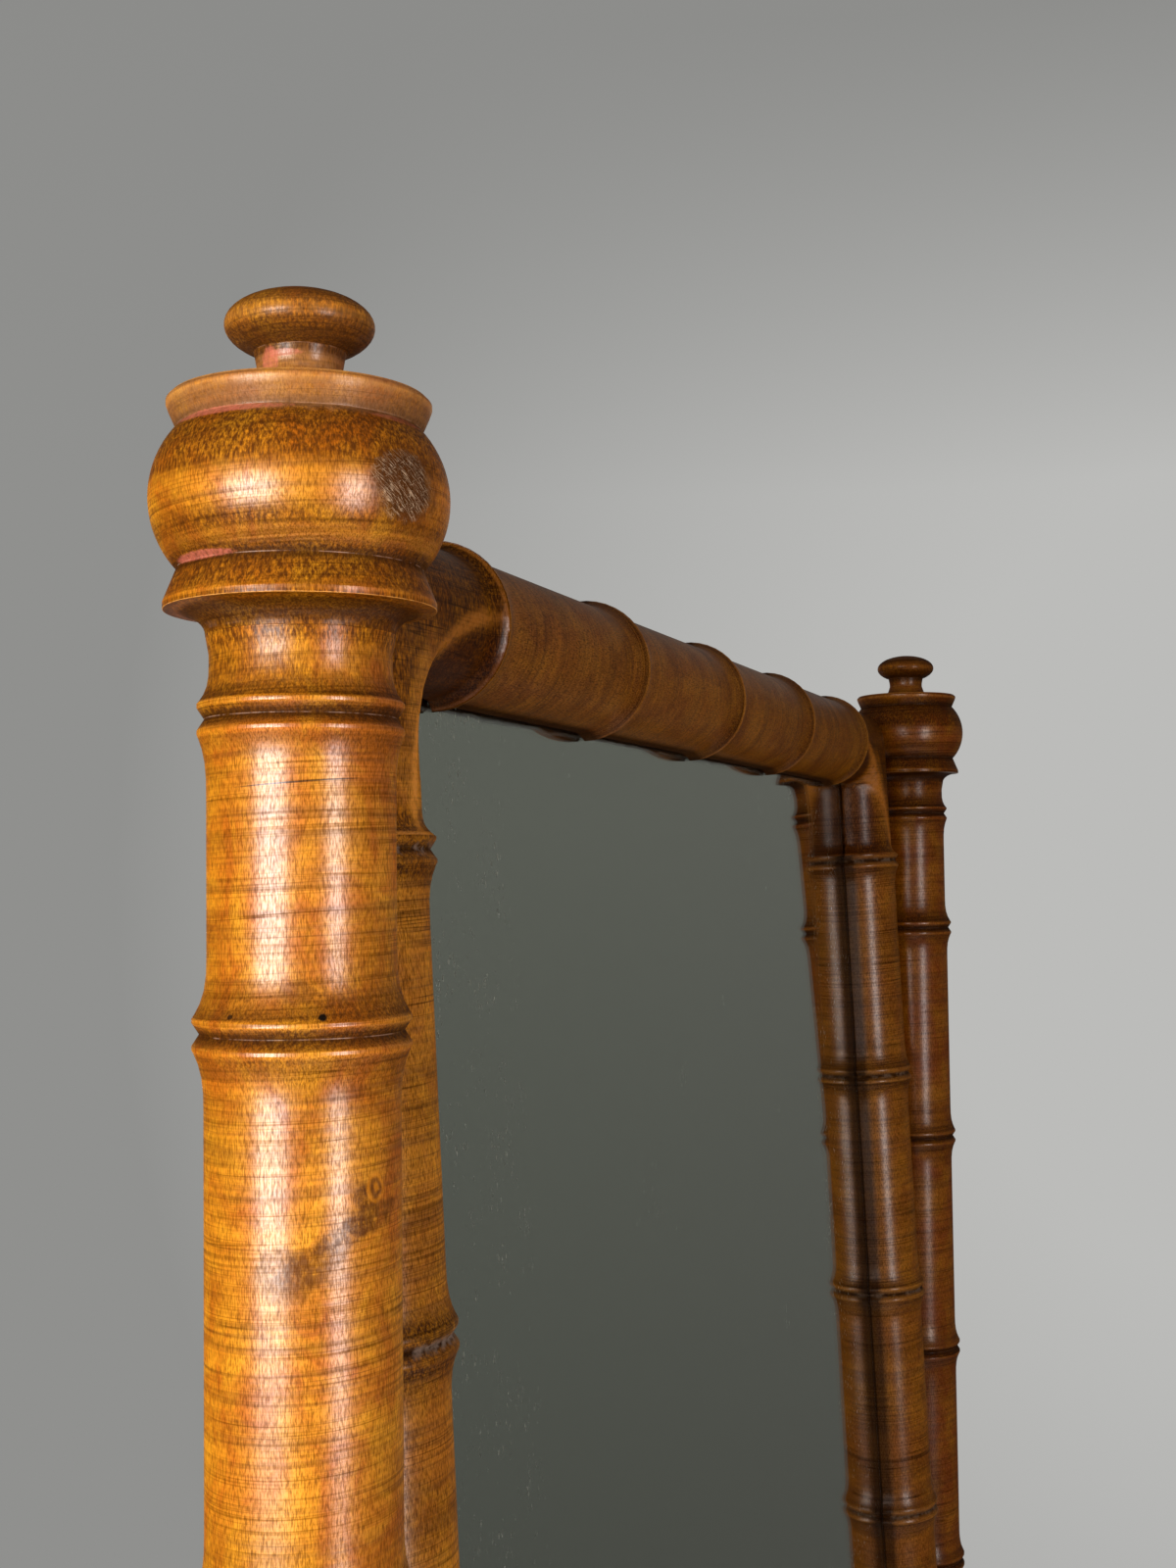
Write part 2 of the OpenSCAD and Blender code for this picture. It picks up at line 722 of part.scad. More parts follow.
// The room that a frame member may fill: mitred ends and a flat back
module mitre_room(half_length) {
    out = 2 * member_r;
    translate([0, back_depth, 0]) rotate([90, 0, 0]) linear_extrude(back_depth + out) polygon([
        [-out, -half_length - out],
        [corner_reach, -half_length + corner_reach],
        [corner_reach, half_length - corner_reach],
        [-out, half_length + out],
    ]);
}

// Half of the hollowed web in the elbow at the +Z end of a member
module corner_web(half_length) {
    translate([0, glass_set, 0]) rotate([90, 0, 0]) linear_extrude(glass_set + web_front)
        polygon(concat(
            [[0, half_length], [0, half_length - corner_reach]],
            arc([corner_reach, half_length - corner_reach], corner_reach, 180, 135, 2 * arc_steps)
        ));
}

// The dowel across a mitre, square to the joint
module mitre_dowel(half_length, r, length) {
    translate([0, -mitre_dowel_set, half_length]) rotate([0, 45, 0])
        cylinder(r = r, h = length, center = true);
}

// A turned member with mitred ends, corner webs, a flat back and a rebate for the glass
module member(profile, half_length) {
    difference() {
        intersection() {
            union() {
                rotate_extrude() polygon(profile);
                corner_web(half_length);
                mirror([0, 0, 1]) corner_web(half_length);
            }
            mitre_room(half_length);
        }
        translate([rebate_wall, glass_set, -half_length])
            cube([2 * member_r, 2 * back_depth, 2 * half_length]);
        for (end = [0, 1])
            mirror([0, 0, end])
                mitre_dowel(half_length, mitre_dowel_r + bore_play,
                    mitre_dowel_length + bore_depth_play);
    }
}

// Points along a member of the frame, with its ring list between two plain ends
function member_profile(half_length, rings) = concat(
    [[0, -half_length - 2 * member_r], [corner_r, -half_length - 2 * member_r]],
    rings,
    [[corner_r, half_length + 2 * member_r], [0, half_length + 2 * member_r]]
);

// Radius and flare of a member beside its ring i, looking outwards to end ring last
function beside_r(i, last) = i == last ? corner_r : member_r;
function beside_flare(i, last) = i == last ? corner_flare : flare_length;

// Place of a screw along a run of the given length, counted from its middle
function screw_place(i, count, run) = (i - (count - 1) / 2) * run / count;

// Centre of a backboard, counted up from the frame's middle
function board_middle(row) = board_edge - half_frame + board_height / 2
    + row * (board_height + board_gap);

// Small countersunk screw driven towards -Y, its head flush at y = 0
module small_screw(play = 0) {
    rotate([90, 0, 0]) rotate_extrude($fn = 32) polygon([
        [0, -play],
        [small_head_r + play, -play],
        [small_head_r + play, play],
        [small_screw_r + play, small_head_depth + play],
        [small_screw_r + play, small_screw_length + play],
        [0, small_screw_length + play],
    ]);
}

// Puts its children at every backboard screw of a stile, in the stile's frame
module at_stile_screws() {
    for (row = [0:board_count - 1], i = [0:screws_per_board - 1])
        translate([
            board_screw_inset,
            board_face,
            board_middle(row) + screw_place(i, screws_per_board, board_height),
        ]) children();
}

// Puts its children at every backboard screw of a rail, in the rail's frame
module at_rail_screws() {
    for (i = [0:screws_per_board - 1])
        translate([board_screw_inset, board_face, screw_place(i, screws_per_board, frame_width)])
            children();
}

// Puts its children at the two screws of a pivot plate, in the stile's frame
module at_plate_screws() {
    for (way = [-1, 1])
        translate([-plate_face, 0, way * plate_screw_spread - frame_middle])
            rotate([0, 0, 90]) children();
}

// Points along the ring pairs of a stile
stile_pairs = joined([for (i = [0:stile_pair_count - 1])
    ring_pair(stile_pair_inset - half_frame + i * stile_pair_pitch, member_edge_r,
        beside_r(i, 0), beside_r(i, stile_pair_count - 1),
        beside_flare(i, 0), beside_flare(i, stile_pair_count - 1))]);

// A stile: ring pairs, and a pocket and holes for the pivot plate
module stile(side) {
    color(wood) at_stile(side) difference() {
        member(member_profile(half_frame, stile_pairs), half_frame);
        at_stile_screws() small_screw(bore_play);
        translate([0, 0, -frame_middle]) {
            translate([-2 * member_r - plate_face + plate_thickness, -plate_width / 2,
                -plate_height / 2])
                cube([2 * member_r, plate_width, plate_height]);
            bar_x(collar_r + running_gap, -2 * member_r, 2 * member_r - plate_face + running_gap);
            bar_x(screw_r + screw_room, -plate_face,
                plate_thickness + screw_past_plate + 2 * bore_depth_play);
        }
        at_plate_screws() small_screw(bore_play);
    }
}

// Points along the rings of a rail
rail_rings = joined([for (i = [0:rail_ring_count - 1])
    single_ring(corner_reach - half_width + i * rail_ring_pitch, member_edge_r,
        beside_r(i, 0), beside_r(i, rail_ring_count - 1),
        beside_flare(i, 0), beside_flare(i, rail_ring_count - 1))]);

// A rail: single rings, and holes for the backboard screws
module rail(end) {
    color(wood) at_rail(end) difference() {
        member(member_profile(half_width, rail_rings), half_width);
        at_rail_screws() small_screw(bore_play);
    }
}

// The dowels across the four mitres
module mitre_dowels() {
    color(pale_wood) for (side = [-1, 1], end = [0, 1])
        at_stile(side) mirror([0, 0, end])
            mitre_dowel(half_frame, mitre_dowel_r, mitre_dowel_length);
}

// The silvered glass
module mirror_plate() {
    color(glass) in_mirror() translate([
        glass_inset - half_width,
        glass_set,
        frame_middle - half_frame + glass_inset,
    ]) cube([frame_width - 2 * glass_inset, glass_thickness, frame_height - 2 * glass_inset]);
}

// A glazing block behind the glass, in a member's frame, centred at z
module glazing_block(z) {
    translate([rebate_wall, glass_back, z - block_length / 2])
        cube([block_width, back_depth - glass_back, block_length]);
}

// The glazing blocks in the rebate behind the glass
module glazing_blocks() {
    color(pale_wood) {
        for (side = [-1, 1], i = [0:blocks_per_stile - 1])
            at_stile(side) glazing_block(screw_place(i, blocks_per_stile, frame_height));
        for (end = [-1, 1], i = [-1, 1])
            at_rail(end) glazing_block(i * frame_width / 4);
    }
}

// Puts its children at every backboard screw, in the mirror's frame
module at_backboard_screws() {
    for (side = [-1, 1])
        mirror([side > 0 ? 1 : 0, 0, 0]) translate([-half_width, 0, frame_middle])
            at_stile_screws() children();
    for (end = [-1, 1])
        translate([0, 0, frame_middle + end * half_frame])
            rotate([0, end > 0 ? 90 : -90, 0]) at_rail_screws() children();
}

// A backboard, row 0 being the lowest
module backboard(row) {
    color(pale_wood) in_mirror() difference() {
        translate([board_edge - half_width, back_depth,
            frame_middle + board_middle(row) - board_height / 2])
            cube([frame_width - 2 * board_edge, board_thickness, board_height]);
        at_backboard_screws() small_screw(bore_play);
    }
}

// The screws of the backboards
module backboard_screws() {
    color(steel) in_mirror() at_backboard_screws() small_screw();
}

// Threaded plate let into a stile's outer side
module pivot_plate(side) {
    color(brass) at_stile(side) difference() {
        translate([-plate_face, -plate_width / 2, -frame_middle - plate_height / 2])
            cube([plate_thickness, plate_width, plate_height]);
        translate([0, 0, -frame_middle])
            bar_x(screw_r + bore_play, -2 * plate_face, 2 * plate_face);
        at_plate_screws() small_screw(bore_play);
    }
}

// The two screws of each pivot plate
module pivot_plate_screws() {
    color(steel) for (side = [-1, 1])
        at_stile(side) at_plate_screws() small_screw();
}

// Flat washer round the clamping screw, from x = start
module washer(start) {
    difference() {
        bar_x(collar_r, start, washer_thickness);
        bar_x(screw_r + bore_play, start - washer_thickness, 3 * washer_thickness);
    }
}

// Friction washer between the collar and the pivot plate
module friction_washer(side) {
    color(dark_wood) at_post(side) translate([0, 0, pivot_height])
        washer(plate_face_from_post - washer_thickness);
}

// Washer under the clamping knob
module knob_washer(side) {
    color(brass) at_post(side) translate([0, 0, pivot_height])
        washer(-flat_depth - washer_thickness);
}

// Clamping screw through post, collar and plate into the stile
module clamp_screw(side) {
    start = -knob_face - screw_in_knob;
    color(steel) at_post(side) translate([0, 0, pivot_height])
        bar_x(screw_r, start, plate_face_from_post + plate_thickness + screw_past_plate - start);
}

// Points out along a clamping knob, from the face towards the post to its crown
clamp_knob_profile = concat(
    [
        [0, 0],
        [clamp_face_r, 0],
        [clamp_face_r, 2],
        [clamp_neck_r, 5],
        [clamp_neck_r, 9],
    ],
    [for (i = [0:2 * arc_steps]) let (a = -58 + 148 * i / (2 * arc_steps))
        [clamp_r * cos(a), clamp_length - clamp_crown + clamp_crown * sin(a)]]
);

// Turned knob on the outer end of a clamping screw
module clamp_knob(side) {
    color(wood) at_post(side) translate([-knob_face, 0, pivot_height]) difference() {
        rotate([0, -90, 0]) rotate_extrude() polygon(clamp_knob_profile);
        bar_x(screw_r, -screw_in_knob, 2 * screw_in_knob);
    }
}

post(-1);  // left_post
post(1);  // right_post
finial(-1);  // left_finial
finial(1);  // right_finial
finial_knob(-1);  // left_finial_knob
finial_knob(1);  // right_finial_knob
foot_bar(-1);  // left_foot_bar
foot_bar(1);  // right_foot_bar
foot(-1, -1);  // left_front_foot
foot(-1, 1);  // left_rear_foot
foot(1, 1);  // right_front_foot
foot(1, -1);  // right_rear_foot
brace(-1, -1);  // left_front_brace
brace(-1, 1);  // left_rear_brace
brace(1, 1);  // right_front_brace
brace(1, -1);  // right_rear_brace
stretcher(upper_stretcher_z, -1);  // upper_stretcher
stretcher(lower_stretcher_z, 1);  // lower_stretcher
spindles();
collar(-1);  // left_collar
collar(1);  // right_collar
rail(1);  // top_rail
rail(-1);  // bottom_rail
stile(-1);  // left_stile
stile(1);  // right_stile
mitre_dowels();
mirror_plate();
glazing_blocks();
backboard(2);  // upper_backboard
backboard(1);  // middle_backboard
backboard(0);  // lower_backboard
backboard_screws();
pivot_plate(-1);  // left_pivot_plate
pivot_plate(1);  // right_pivot_plate
pivot_plate_screws();
friction_washer(-1);  // left_friction_washer
friction_washer(1);  // right_friction_washer
clamp_screw(-1);  // left_clamp_screw
clamp_screw(1);  // right_clamp_screw
clamp_knob(-1);  // left_clamp_knob
clamp_knob(1);  // right_clamp_knob
knob_washer(-1);  // left_knob_washer
knob_washer(1);  // right_knob_washer
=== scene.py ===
"""Looks of a cheval mirror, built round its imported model.

Turned posts with urn finials carry a ringed frame, which tilts between them on two clamping screws.
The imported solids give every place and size. This script turns, eases and finishes the pieces that
stand for them, hangs the silvered glass in the frame, and sets the floor, the lamps and the camera.
"""

import json
import logging
import math
import random
from dataclasses import dataclass, field, replace
from enum import Enum

import bmesh
import bpy
from mathutils import Matrix, Vector

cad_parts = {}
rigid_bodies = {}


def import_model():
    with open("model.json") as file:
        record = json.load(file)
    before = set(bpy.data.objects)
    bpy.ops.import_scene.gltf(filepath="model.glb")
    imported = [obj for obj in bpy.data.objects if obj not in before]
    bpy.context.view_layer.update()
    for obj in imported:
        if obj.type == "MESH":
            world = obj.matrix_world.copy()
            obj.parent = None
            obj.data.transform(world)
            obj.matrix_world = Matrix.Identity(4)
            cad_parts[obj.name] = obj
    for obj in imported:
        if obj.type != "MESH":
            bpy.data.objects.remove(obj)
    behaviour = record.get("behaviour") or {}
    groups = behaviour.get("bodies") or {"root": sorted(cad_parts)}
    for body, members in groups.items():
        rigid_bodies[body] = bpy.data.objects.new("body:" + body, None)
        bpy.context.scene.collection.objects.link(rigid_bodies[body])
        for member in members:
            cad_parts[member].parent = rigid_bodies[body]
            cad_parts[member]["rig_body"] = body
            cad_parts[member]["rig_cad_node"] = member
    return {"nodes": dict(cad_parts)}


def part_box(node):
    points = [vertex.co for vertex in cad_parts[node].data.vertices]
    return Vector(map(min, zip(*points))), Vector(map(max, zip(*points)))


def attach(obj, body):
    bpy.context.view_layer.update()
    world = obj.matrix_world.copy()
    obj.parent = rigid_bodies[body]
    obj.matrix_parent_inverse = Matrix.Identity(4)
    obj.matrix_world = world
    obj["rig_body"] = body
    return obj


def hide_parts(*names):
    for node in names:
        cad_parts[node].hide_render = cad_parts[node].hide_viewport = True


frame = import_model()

Piece = bpy.types.Object
Material = bpy.types.Material
Tree = bpy.types.NodeTree
Node = bpy.types.Node
Socket = bpy.types.NodeSocket
Colour = tuple[float, float, float, float]
Triple = tuple[float, float, float]
Bands = tuple[tuple[float, float], ...]

LOG = logging.getLogger("cheval_mirror")
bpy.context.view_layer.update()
MM = 0.001

# Height of the middle of the finials' knobs, from which bands and marks are placed downwards
KNOB_LEVEL = 1.730
# Distance over which the shelter of a hollow fades at a piece's end
END_FADE = 3.5 * MM
# Reach of the wood that shelters a groove, and of that which shelters a hollow
GROOVE_REACH = 3.5 * MM
HOLLOW_REACH = 16 * MM
# Sum of the slopes on both sides that shelters a place fully
FULL_SHELTER = 1.3
# Bend in radians at which an edge starts to be worn and painted with a highlight, and the further
# bend to a fully worn one
RIDGE_START, RIDGE_SPAN = 0.22, 0.26
# The same for dirt in an inner edge
CREASE_START, CREASE_SPAN = 0.1, 0.5
# Angles above which an edge stays sharp
SHAPED_EDGE = math.radians(34)
TURNED_EDGE = math.radians(40)
CARVED_EDGE = math.radians(50)
METAL_EDGE = math.radians(30)
# Angle above which the edges of metal and leather are eased
EASED_EDGE = math.radians(50)
# Distance below which points are one point, on a copied node and on a turned piece
SAME_POINT = 0.003 * MM
SAME_TURNED_POINT = 0.004 * MM


class Grain(Enum):
    """Directions that a piece's fibres run in before the frame's lean is added."""

    UPRIGHT = "upright"
    ACROSS = "across"
    FORE_AND_AFT = "fore_and_aft"


class Body(Enum):
    """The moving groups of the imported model."""

    STAND = "stand"
    MIRROR = "mirror"
    LEFT_CLAMP = "left_clamp"
    RIGHT_CLAMP = "right_clamp"


class Slot(Enum):
    """The record's material slots."""

    WOOD = "wood"
    FRAME_WOOD = "frame_wood"
    PALE_WOOD = "pale_wood"
    SILVERED_GLASS = "silvered_glass"
    BRASS = "brass"
    STEEL = "steel"
    LEATHER = "leather"


WAYS = {
    Grain.UPRIGHT: Vector((0, 0, 1)),
    Grain.ACROSS: Vector((1, 0, 0)),
    Grain.FORE_AND_AFT: Vector((0, 1, 0)),
}


class Side(Enum):
    """The two ends of the mirror's width."""

    LEFT = -1
    RIGHT = 1

    @property
    def word(self) -> str:
        """The word that names of this side's pieces start with."""
        return "left" if self is Side.LEFT else "right"


class Trace(Enum):
    """Traces of use and growth, and a painted sheen, that lie at one place on the near post."""

    SCUFF = "scuff"
    ROUGE = "rouge"
    KNOT = "knot"
    STAIN = "stain"
    SPOT = "spot"
    CRACK = "crack"
    FILM = "film"


@dataclass(frozen=True)
class Mark:
    """One trace at its place on a turned piece.

    Attributes:
        trace: What it is.
        turn: Direction from the axis, in degrees from +X.
        drop: Distance below the knob level, in metres.
        across: Half of its width round the piece.
        up: Half of its height.
        lean: Turn in the surface, in degrees.
        strength: Depth of its colour.
    """

    trace: Trace
    turn: float
    drop: float
    across: float
    up: float
    lean: float = 0.0
    strength: float = 1.0


# ---- tools of the bench ----


def lay_down() -> None:
    """Leaves edit mode and deselects everything."""
    if bpy.context.object is not None and bpy.context.object.mode != "OBJECT":
        bpy.ops.object.mode_set(mode="OBJECT")
    bpy.ops.object.select_all(action="DESELECT")


def take_up(piece: Piece) -> None:
    """Selects one piece alone and makes it active.

    Args:
        piece: The object to work on.
    """
    lay_down()
    piece.select_set(True)
    bpy.context.view_layer.objects.active = piece


def fix_place(piece: Piece) -> None:
    """Applies a piece's place, turn and scale to its mesh.

    Args:
        piece: The object whose origin goes to the world's.
    """
    take_up(piece)
    bpy.ops.object.transform_apply(location=True, rotation=True, scale=True)


def apply_modifiers(piece: Piece) -> None:
    """Applies all of a piece's modifiers in order.

    Args:
        piece: The object whose modifiers become mesh.
    """
    take_up(piece)
    for modifier in list(piece.modifiers):
        bpy.ops.object.modifier_apply(modifier=modifier.name)


def copy_node(node: str, name: str) -> Piece:
    """Copies a CAD node, joins its loose triangles and smooths its round faces.

    Args:
        node: Name of the CAD node.
        name: Name of the copy.

    Returns:
        The copy, which rides on nothing yet.
    """
    source = frame["nodes"][node]
    take_up(source)
    bpy.ops.object.duplicate(linked=False)
    piece = bpy.context.object
    piece.name = name
    piece.data.name = name
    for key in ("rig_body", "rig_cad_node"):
        if key in piece:
            del piece[key]
    piece.parent = None
    piece.matrix_world = Matrix.Identity(4)
    bpy.ops.mesh.customdata_custom_splitnormals_clear()
    bpy.ops.object.mode_set(mode="EDIT")
    bpy.ops.mesh.select_all(action="SELECT")
    bpy.ops.mesh.remove_doubles(threshold=SAME_POINT)
    flat, square = math.radians(4), math.radians(60)
    bpy.ops.mesh.tris_convert_to_quads(face_threshold=flat, shape_threshold=square)
    bpy.ops.object.mode_set(mode="OBJECT")
    bpy.ops.object.shade_smooth_by_angle(angle=SHAPED_EDGE)
    return piece


def choose(piece: Piece, chosen: list[bool]) -> None:
    """Opens a piece for editing with some of its points selected.

    Args:
        piece: The object to work on.
        chosen: For each point, whether it is selected.
    """
    take_up(piece)
    data = piece.data
    data.polygons.foreach_set("select", [False] * len(data.polygons))
    data.edges.foreach_set("select", [False] * len(data.edges))
    data.vertices.foreach_set("select", chosen)
    bpy.ops.object.mode_set(mode="EDIT")
    bpy.ops.mesh.select_mode(type="VERT")


def cut(piece: Piece, point: Vector, way: Vector) -> None:
    """Cuts a piece with a plane and closes it.

    Args:
        piece: The object to cut.
        point: A point of the plane.
        way: Direction of the waste, square to the plane.
    """
    choose(piece, [True] * len(piece.data.vertices))
    bpy.ops.mesh.bisect(plane_co=tuple(point), plane_no=tuple(way), use_fill=True, clear_outer=True)
    bpy.ops.object.mode_set(mode="OBJECT")


def smooth_step(value: float, low: float, high: float) -> float:
    """A soft step from nought below one value to one above another."""
    t = min(max((value - low) / (high - low), 0.0), 1.0)
    return t * t * (3 - 2 * t)


def frame_lean() -> Matrix:
    """Reads the mirror's lean from its glass.

    Returns:
        The turn from an upright frame to the leaning one.
    """
    plate = frame["nodes"]["mirror_plate"].data
    broad = max(plate.polygons, key=lambda face: face.area)
    normal = Vector(broad.normal)
    if normal.y > 0:
        normal = -normal
    return Matrix.Rotation(math.atan2(-normal.z, -normal.y), 3, "X")


LEAN = frame_lean()


@dataclass(frozen=True)
class Axis:
    """A turning axis.

    Attributes:
        middle: A point on the axis.
        along: Unit vector along the axis.
        beside: Unit vector across it, from which angles start.
    """

    middle: Vector
    along: Vector
    beside: Vector

    @property
    def third(self) -> Vector:
        """The unit vector square to the other two."""
        return self.along.cross(self.beside)

    def local(self, point: Vector) -> Vector:
        """A point as its two offsets across the axis and its station along it."""
        gap = point - self.middle
        return Vector((gap.dot(self.beside), gap.dot(self.third), gap.dot(self.along)))


def radius_of(local: Vector) -> float:
    """Distance from the axis of a point in its coordinates."""
    return math.hypot(local.x, local.y)


def box_axis(node: str, grain: Grain, leaning: bool = False) -> Axis:
    """The axis through the middle of a node's box.

    Args:
        node: Name of the CAD node.
        grain: Direction of the axis.
        leaning: Whether the piece is part of the leaning frame.

    Returns:
        The axis.
    """
    low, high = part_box(node)
    middle = (low + high) / 2
    along, beside = WAYS[grain], WAYS[Grain.UPRIGHT if grain is Grain.ACROSS else Grain.ACROSS]
    if leaning:
        return Axis(middle, LEAN @ along, LEAN @ beside)
    spots = {tuple(round(c, 6) for c in v.co) for v in frame["nodes"][node].data.vertices}
    start = min(Vector(spot).dot(along) for spot in spots)
    end_ring = [Vector(spot) for spot in spots if Vector(spot).dot(along) < start + 0.002 * MM]
    centre = sum(end_ring, Vector()) / len(end_ring)
    return Axis(centre + along * (middle - centre).dot(along), along, beside)


# ---- the lathe ----


@dataclass
class Lathe:
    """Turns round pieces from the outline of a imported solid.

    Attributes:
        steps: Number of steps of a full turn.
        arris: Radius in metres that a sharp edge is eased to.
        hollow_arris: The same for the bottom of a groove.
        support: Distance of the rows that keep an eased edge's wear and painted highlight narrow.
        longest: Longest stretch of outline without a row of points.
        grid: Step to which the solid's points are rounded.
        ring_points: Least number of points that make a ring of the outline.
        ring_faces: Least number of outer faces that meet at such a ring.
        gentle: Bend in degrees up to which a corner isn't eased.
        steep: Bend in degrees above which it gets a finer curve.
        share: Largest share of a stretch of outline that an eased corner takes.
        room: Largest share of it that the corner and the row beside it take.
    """

    steps: int = 96
    arris: float = 0.35 * MM
    hollow_arris: float = 0.18 * MM
    support: float = 0.5 * MM
    longest: float = 12 * MM
    grid: float = 0.004 * MM
    ring_points: int = 20
    ring_faces: int = 10
    gentle: float = 22.0
    steep: float = 45.0
    share: float = 0.42
    room: float = 0.45

    def outline(self, node: str, axis: Axis) -> list[tuple[float, float]]:
        """Reads the outer outline of a turned CAD node.

        Args:
            node: Name of the CAD node.
            axis: Its turning axis.

        Returns:
            Radius and station of each corner, in metres, in order along the axis.
        """
        data = frame["nodes"][node].data
        grid = self.grid
        places = [axis.local(v.co) for v in data.vertices]
        keys = [(round(p.z / grid), round(radius_of(p) / grid)) for p in places]
        spots: dict[tuple[int, int], set] = {}
        rise: dict[tuple[int, int], int] = {}
        fall: dict[tuple[int, int], int] = {}
        for key, p in zip(keys, places):
            spots.setdefault(key, set()).add(round(math.atan2(p.y, p.x), 3))
        for face in data.polygons:
            middle = axis.local(face.center)
            out = axis.local(axis.middle + face.normal)
            if out.x * middle.x + out.y * middle.y <= 0.02 * radius_of(middle):
                continue
            stations = [keys[v][0] for v in face.vertices]
            top, bottom = max(stations), min(stations)
            for v in face.vertices:
                if keys[v][0] < top:
                    rise[keys[v]] = rise.get(keys[v], 0) + 1
                if keys[v][0] > bottom:
                    fall[keys[v]] = fall.get(keys[v], 0) + 1
        full = [key for key, seen in spots.items() if len(seen) >= self.ring_points]
        corners: list[tuple[float, float]] = []
        for station in sorted({key[0] for key in full}):
            here = [key for key in full if key[0] == station]
            for counts in (fall, rise):
                radii = [key[1] for key in here if counts.get(key, 0) >= self.ring_faces]
                if radii:
                    corner = (max(radii) * grid, station * grid)
                    if not corners or corner != corners[-1]:
                        corners.append(corner)
        return corners

    def ease(self, corners: list[tuple[float, float]]) -> list[tuple[float, float]]:
        """Rounds the corners of an outline and adds rows beside them.

        Args:
            corners: Radius and station of each corner, in order along the axis.

        Returns:
            The eased outline, with rows of points close enough for wear to follow.
        """
        eased: list[Vector] = []
        points = [Vector(c) for c in corners]
        for i, p in enumerate(points):
            if i in (0, len(points) - 1):
                eased.append(p)
                continue
            back, ahead = points[i - 1] - p, points[i + 1] - p
            if back.length < 1e-7 or ahead.length < 1e-7:
                continue
            turn = back.angle(-ahead)
            if turn < math.radians(self.gentle):
                eased.append(p)
                continue
            convex = back.x * ahead.y - back.y * ahead.x > 0
            radius = self.arris if convex else self.hollow_arris
            longest = self.share * back.length, self.share * ahead.length
            reach = min(radius * math.tan(turn / 2), *longest)
            start, end = p + back.normalized() * reach, p + ahead.normalized() * reach
            if reach + self.support < self.room * back.length:
                eased.append(p + back.normalized() * (reach + self.support))
            pieces = 3 if turn > math.radians(self.steep) else 2
            for n in range(pieces + 1):
                t = n / pieces
                eased.append(start * (1 - t) ** 2 + p * (2 * t * (1 - t)) + end * t**2)
            if reach + self.support < self.room * ahead.length:
                eased.append(p + ahead.normalized() * (reach + self.support))
        rows: list[tuple[float, float]] = []
        for a, b in zip(eased, eased[1:]):
            count = max(1, math.ceil((b - a).length / self.longest))
            rows += [tuple(a.lerp(b, n / count)) for n in range(count)]
        rows.append(tuple(eased[-1]))
        return rows

    def turn(self, name: str, corners: list[tuple[float, float]], axis: Axis) -> Piece:
        """Extrudes an eased outline from one point and spins it round its axis.

        Args:
            name: Name of the new piece.
            corners: Radius and station of each corner, in order along the axis.
            axis: The turning axis.

        Returns:
            The turned piece, closed at both ends.
        """
        rows = self.ease(corners)
        first, last = rows[0], rows[-1]
        path = [(0.0, first[1])] * (first[0] > 1e-6) + rows + [(0.0, last[1])] * (last[0] > 1e-6)
        places = [axis.middle + axis.beside * r + axis.along * z for r, z in path]
        lay_down()
        bpy.ops.mesh.primitive_plane_add(size=MM, location=places[0])
        piece = bpy.context.object
        piece.name = name
        piece.data.name = name
        fix_place(piece)
        bpy.ops.object.mode_set(mode="EDIT")
        bpy.ops.mesh.select_all(action="SELECT")
        bpy.ops.mesh.merge(type="CENTER")
        for a, b in zip(places, places[1:]):
            bpy.ops.mesh.extrude_region_move(TRANSFORM_OT_translate={"value": tuple(b - a)})
        bpy.ops.mesh.select_all(action="SELECT")
        bpy.ops.mesh.spin(
            steps=self.steps, angle=math.tau, center=tuple(axis.middle), axis=tuple(axis.along)
        )
        bpy.ops.mesh.select_all(action="SELECT")
        bpy.ops.mesh.remove_doubles(threshold=SAME_TURNED_POINT)
        bpy.ops.mesh.normals_make_consistent(inside=False)
        bpy.ops.object.mode_set(mode="OBJECT")
        bpy.ops.object.shade_smooth_by_angle(angle=TURNED_EDGE)
        return piece


@dataclass(frozen=True)
class Contour:
    """Outer radius of a piece along its axis, at even stations.

    Attributes:
        start: Station of the first radius.
        step: Distance between stations.
        radii: The radii.
    """

    start: float
    step: float
    radii: tuple[float, ...]

    @classmethod
    def of(cls, places: list[Vector], step: float = 0.5 * MM) -> "Contour":
        """Measures the contour of a piece.

        Args:
            places: Its points in the coordinates of its axis.
            step: Distance between stations.

        Returns:
            The contour, with straight runs between the stations that have points.
        """
        outer: dict[int, float] = {}
        for p in places:
            key = round(p.z / step)
            outer[key] = max(outer.get(key, 0.0), radius_of(p))
        keys = sorted(outer)
        radii = [outer[keys[0]]]
        for a, b in zip(keys, keys[1:]):
            radii += [outer[a] + (outer[b] - outer[a]) * n / (b - a) for n in range(1, b - a + 1)]
        return cls(keys[0] * step, step, tuple(radii))

    def shelter(self, reach: float) -> list[float]:
        """How deep each station lies between higher ones, which the finish darkens as painted shade
        as well as with the polisher's brown.

        Args:
            reach: Distance along the axis within which wood shelters a station.

        Returns:
            Nought on open wood to one in a deep groove, for each station.
        """
        span = round(reach / self.step)
        count = len(self.radii)
        found = []
        for k, r in enumerate(self.radii):
            total = 0.0
            for way in (-1, 1):
                stops = range(1, min(span, k if way < 0 else count - 1 - k) + 1)
                slopes = [(self.radii[k + way * n] - r) / (n * self.step) for n in stops]
                slope = max(slopes, default=0.0)
                total += max(0.0, slope) / math.hypot(1.0, slope)
            from_end = min(k, count - 1 - k) * self.step
            found.append(min(1.0, total / FULL_SHELTER) * min(1.0, from_end / END_FADE))
        return found

    def at(self, values: list[float], station: float) -> float:
        """The value at a station, between its two neighbours."""
        place = (station - self.start) / self.step
        k = min(max(int(place), 0), len(values) - 2)
        return values[k] + (values[k + 1] - values[k]) * min(max(place - k, 0.0), 1.0)


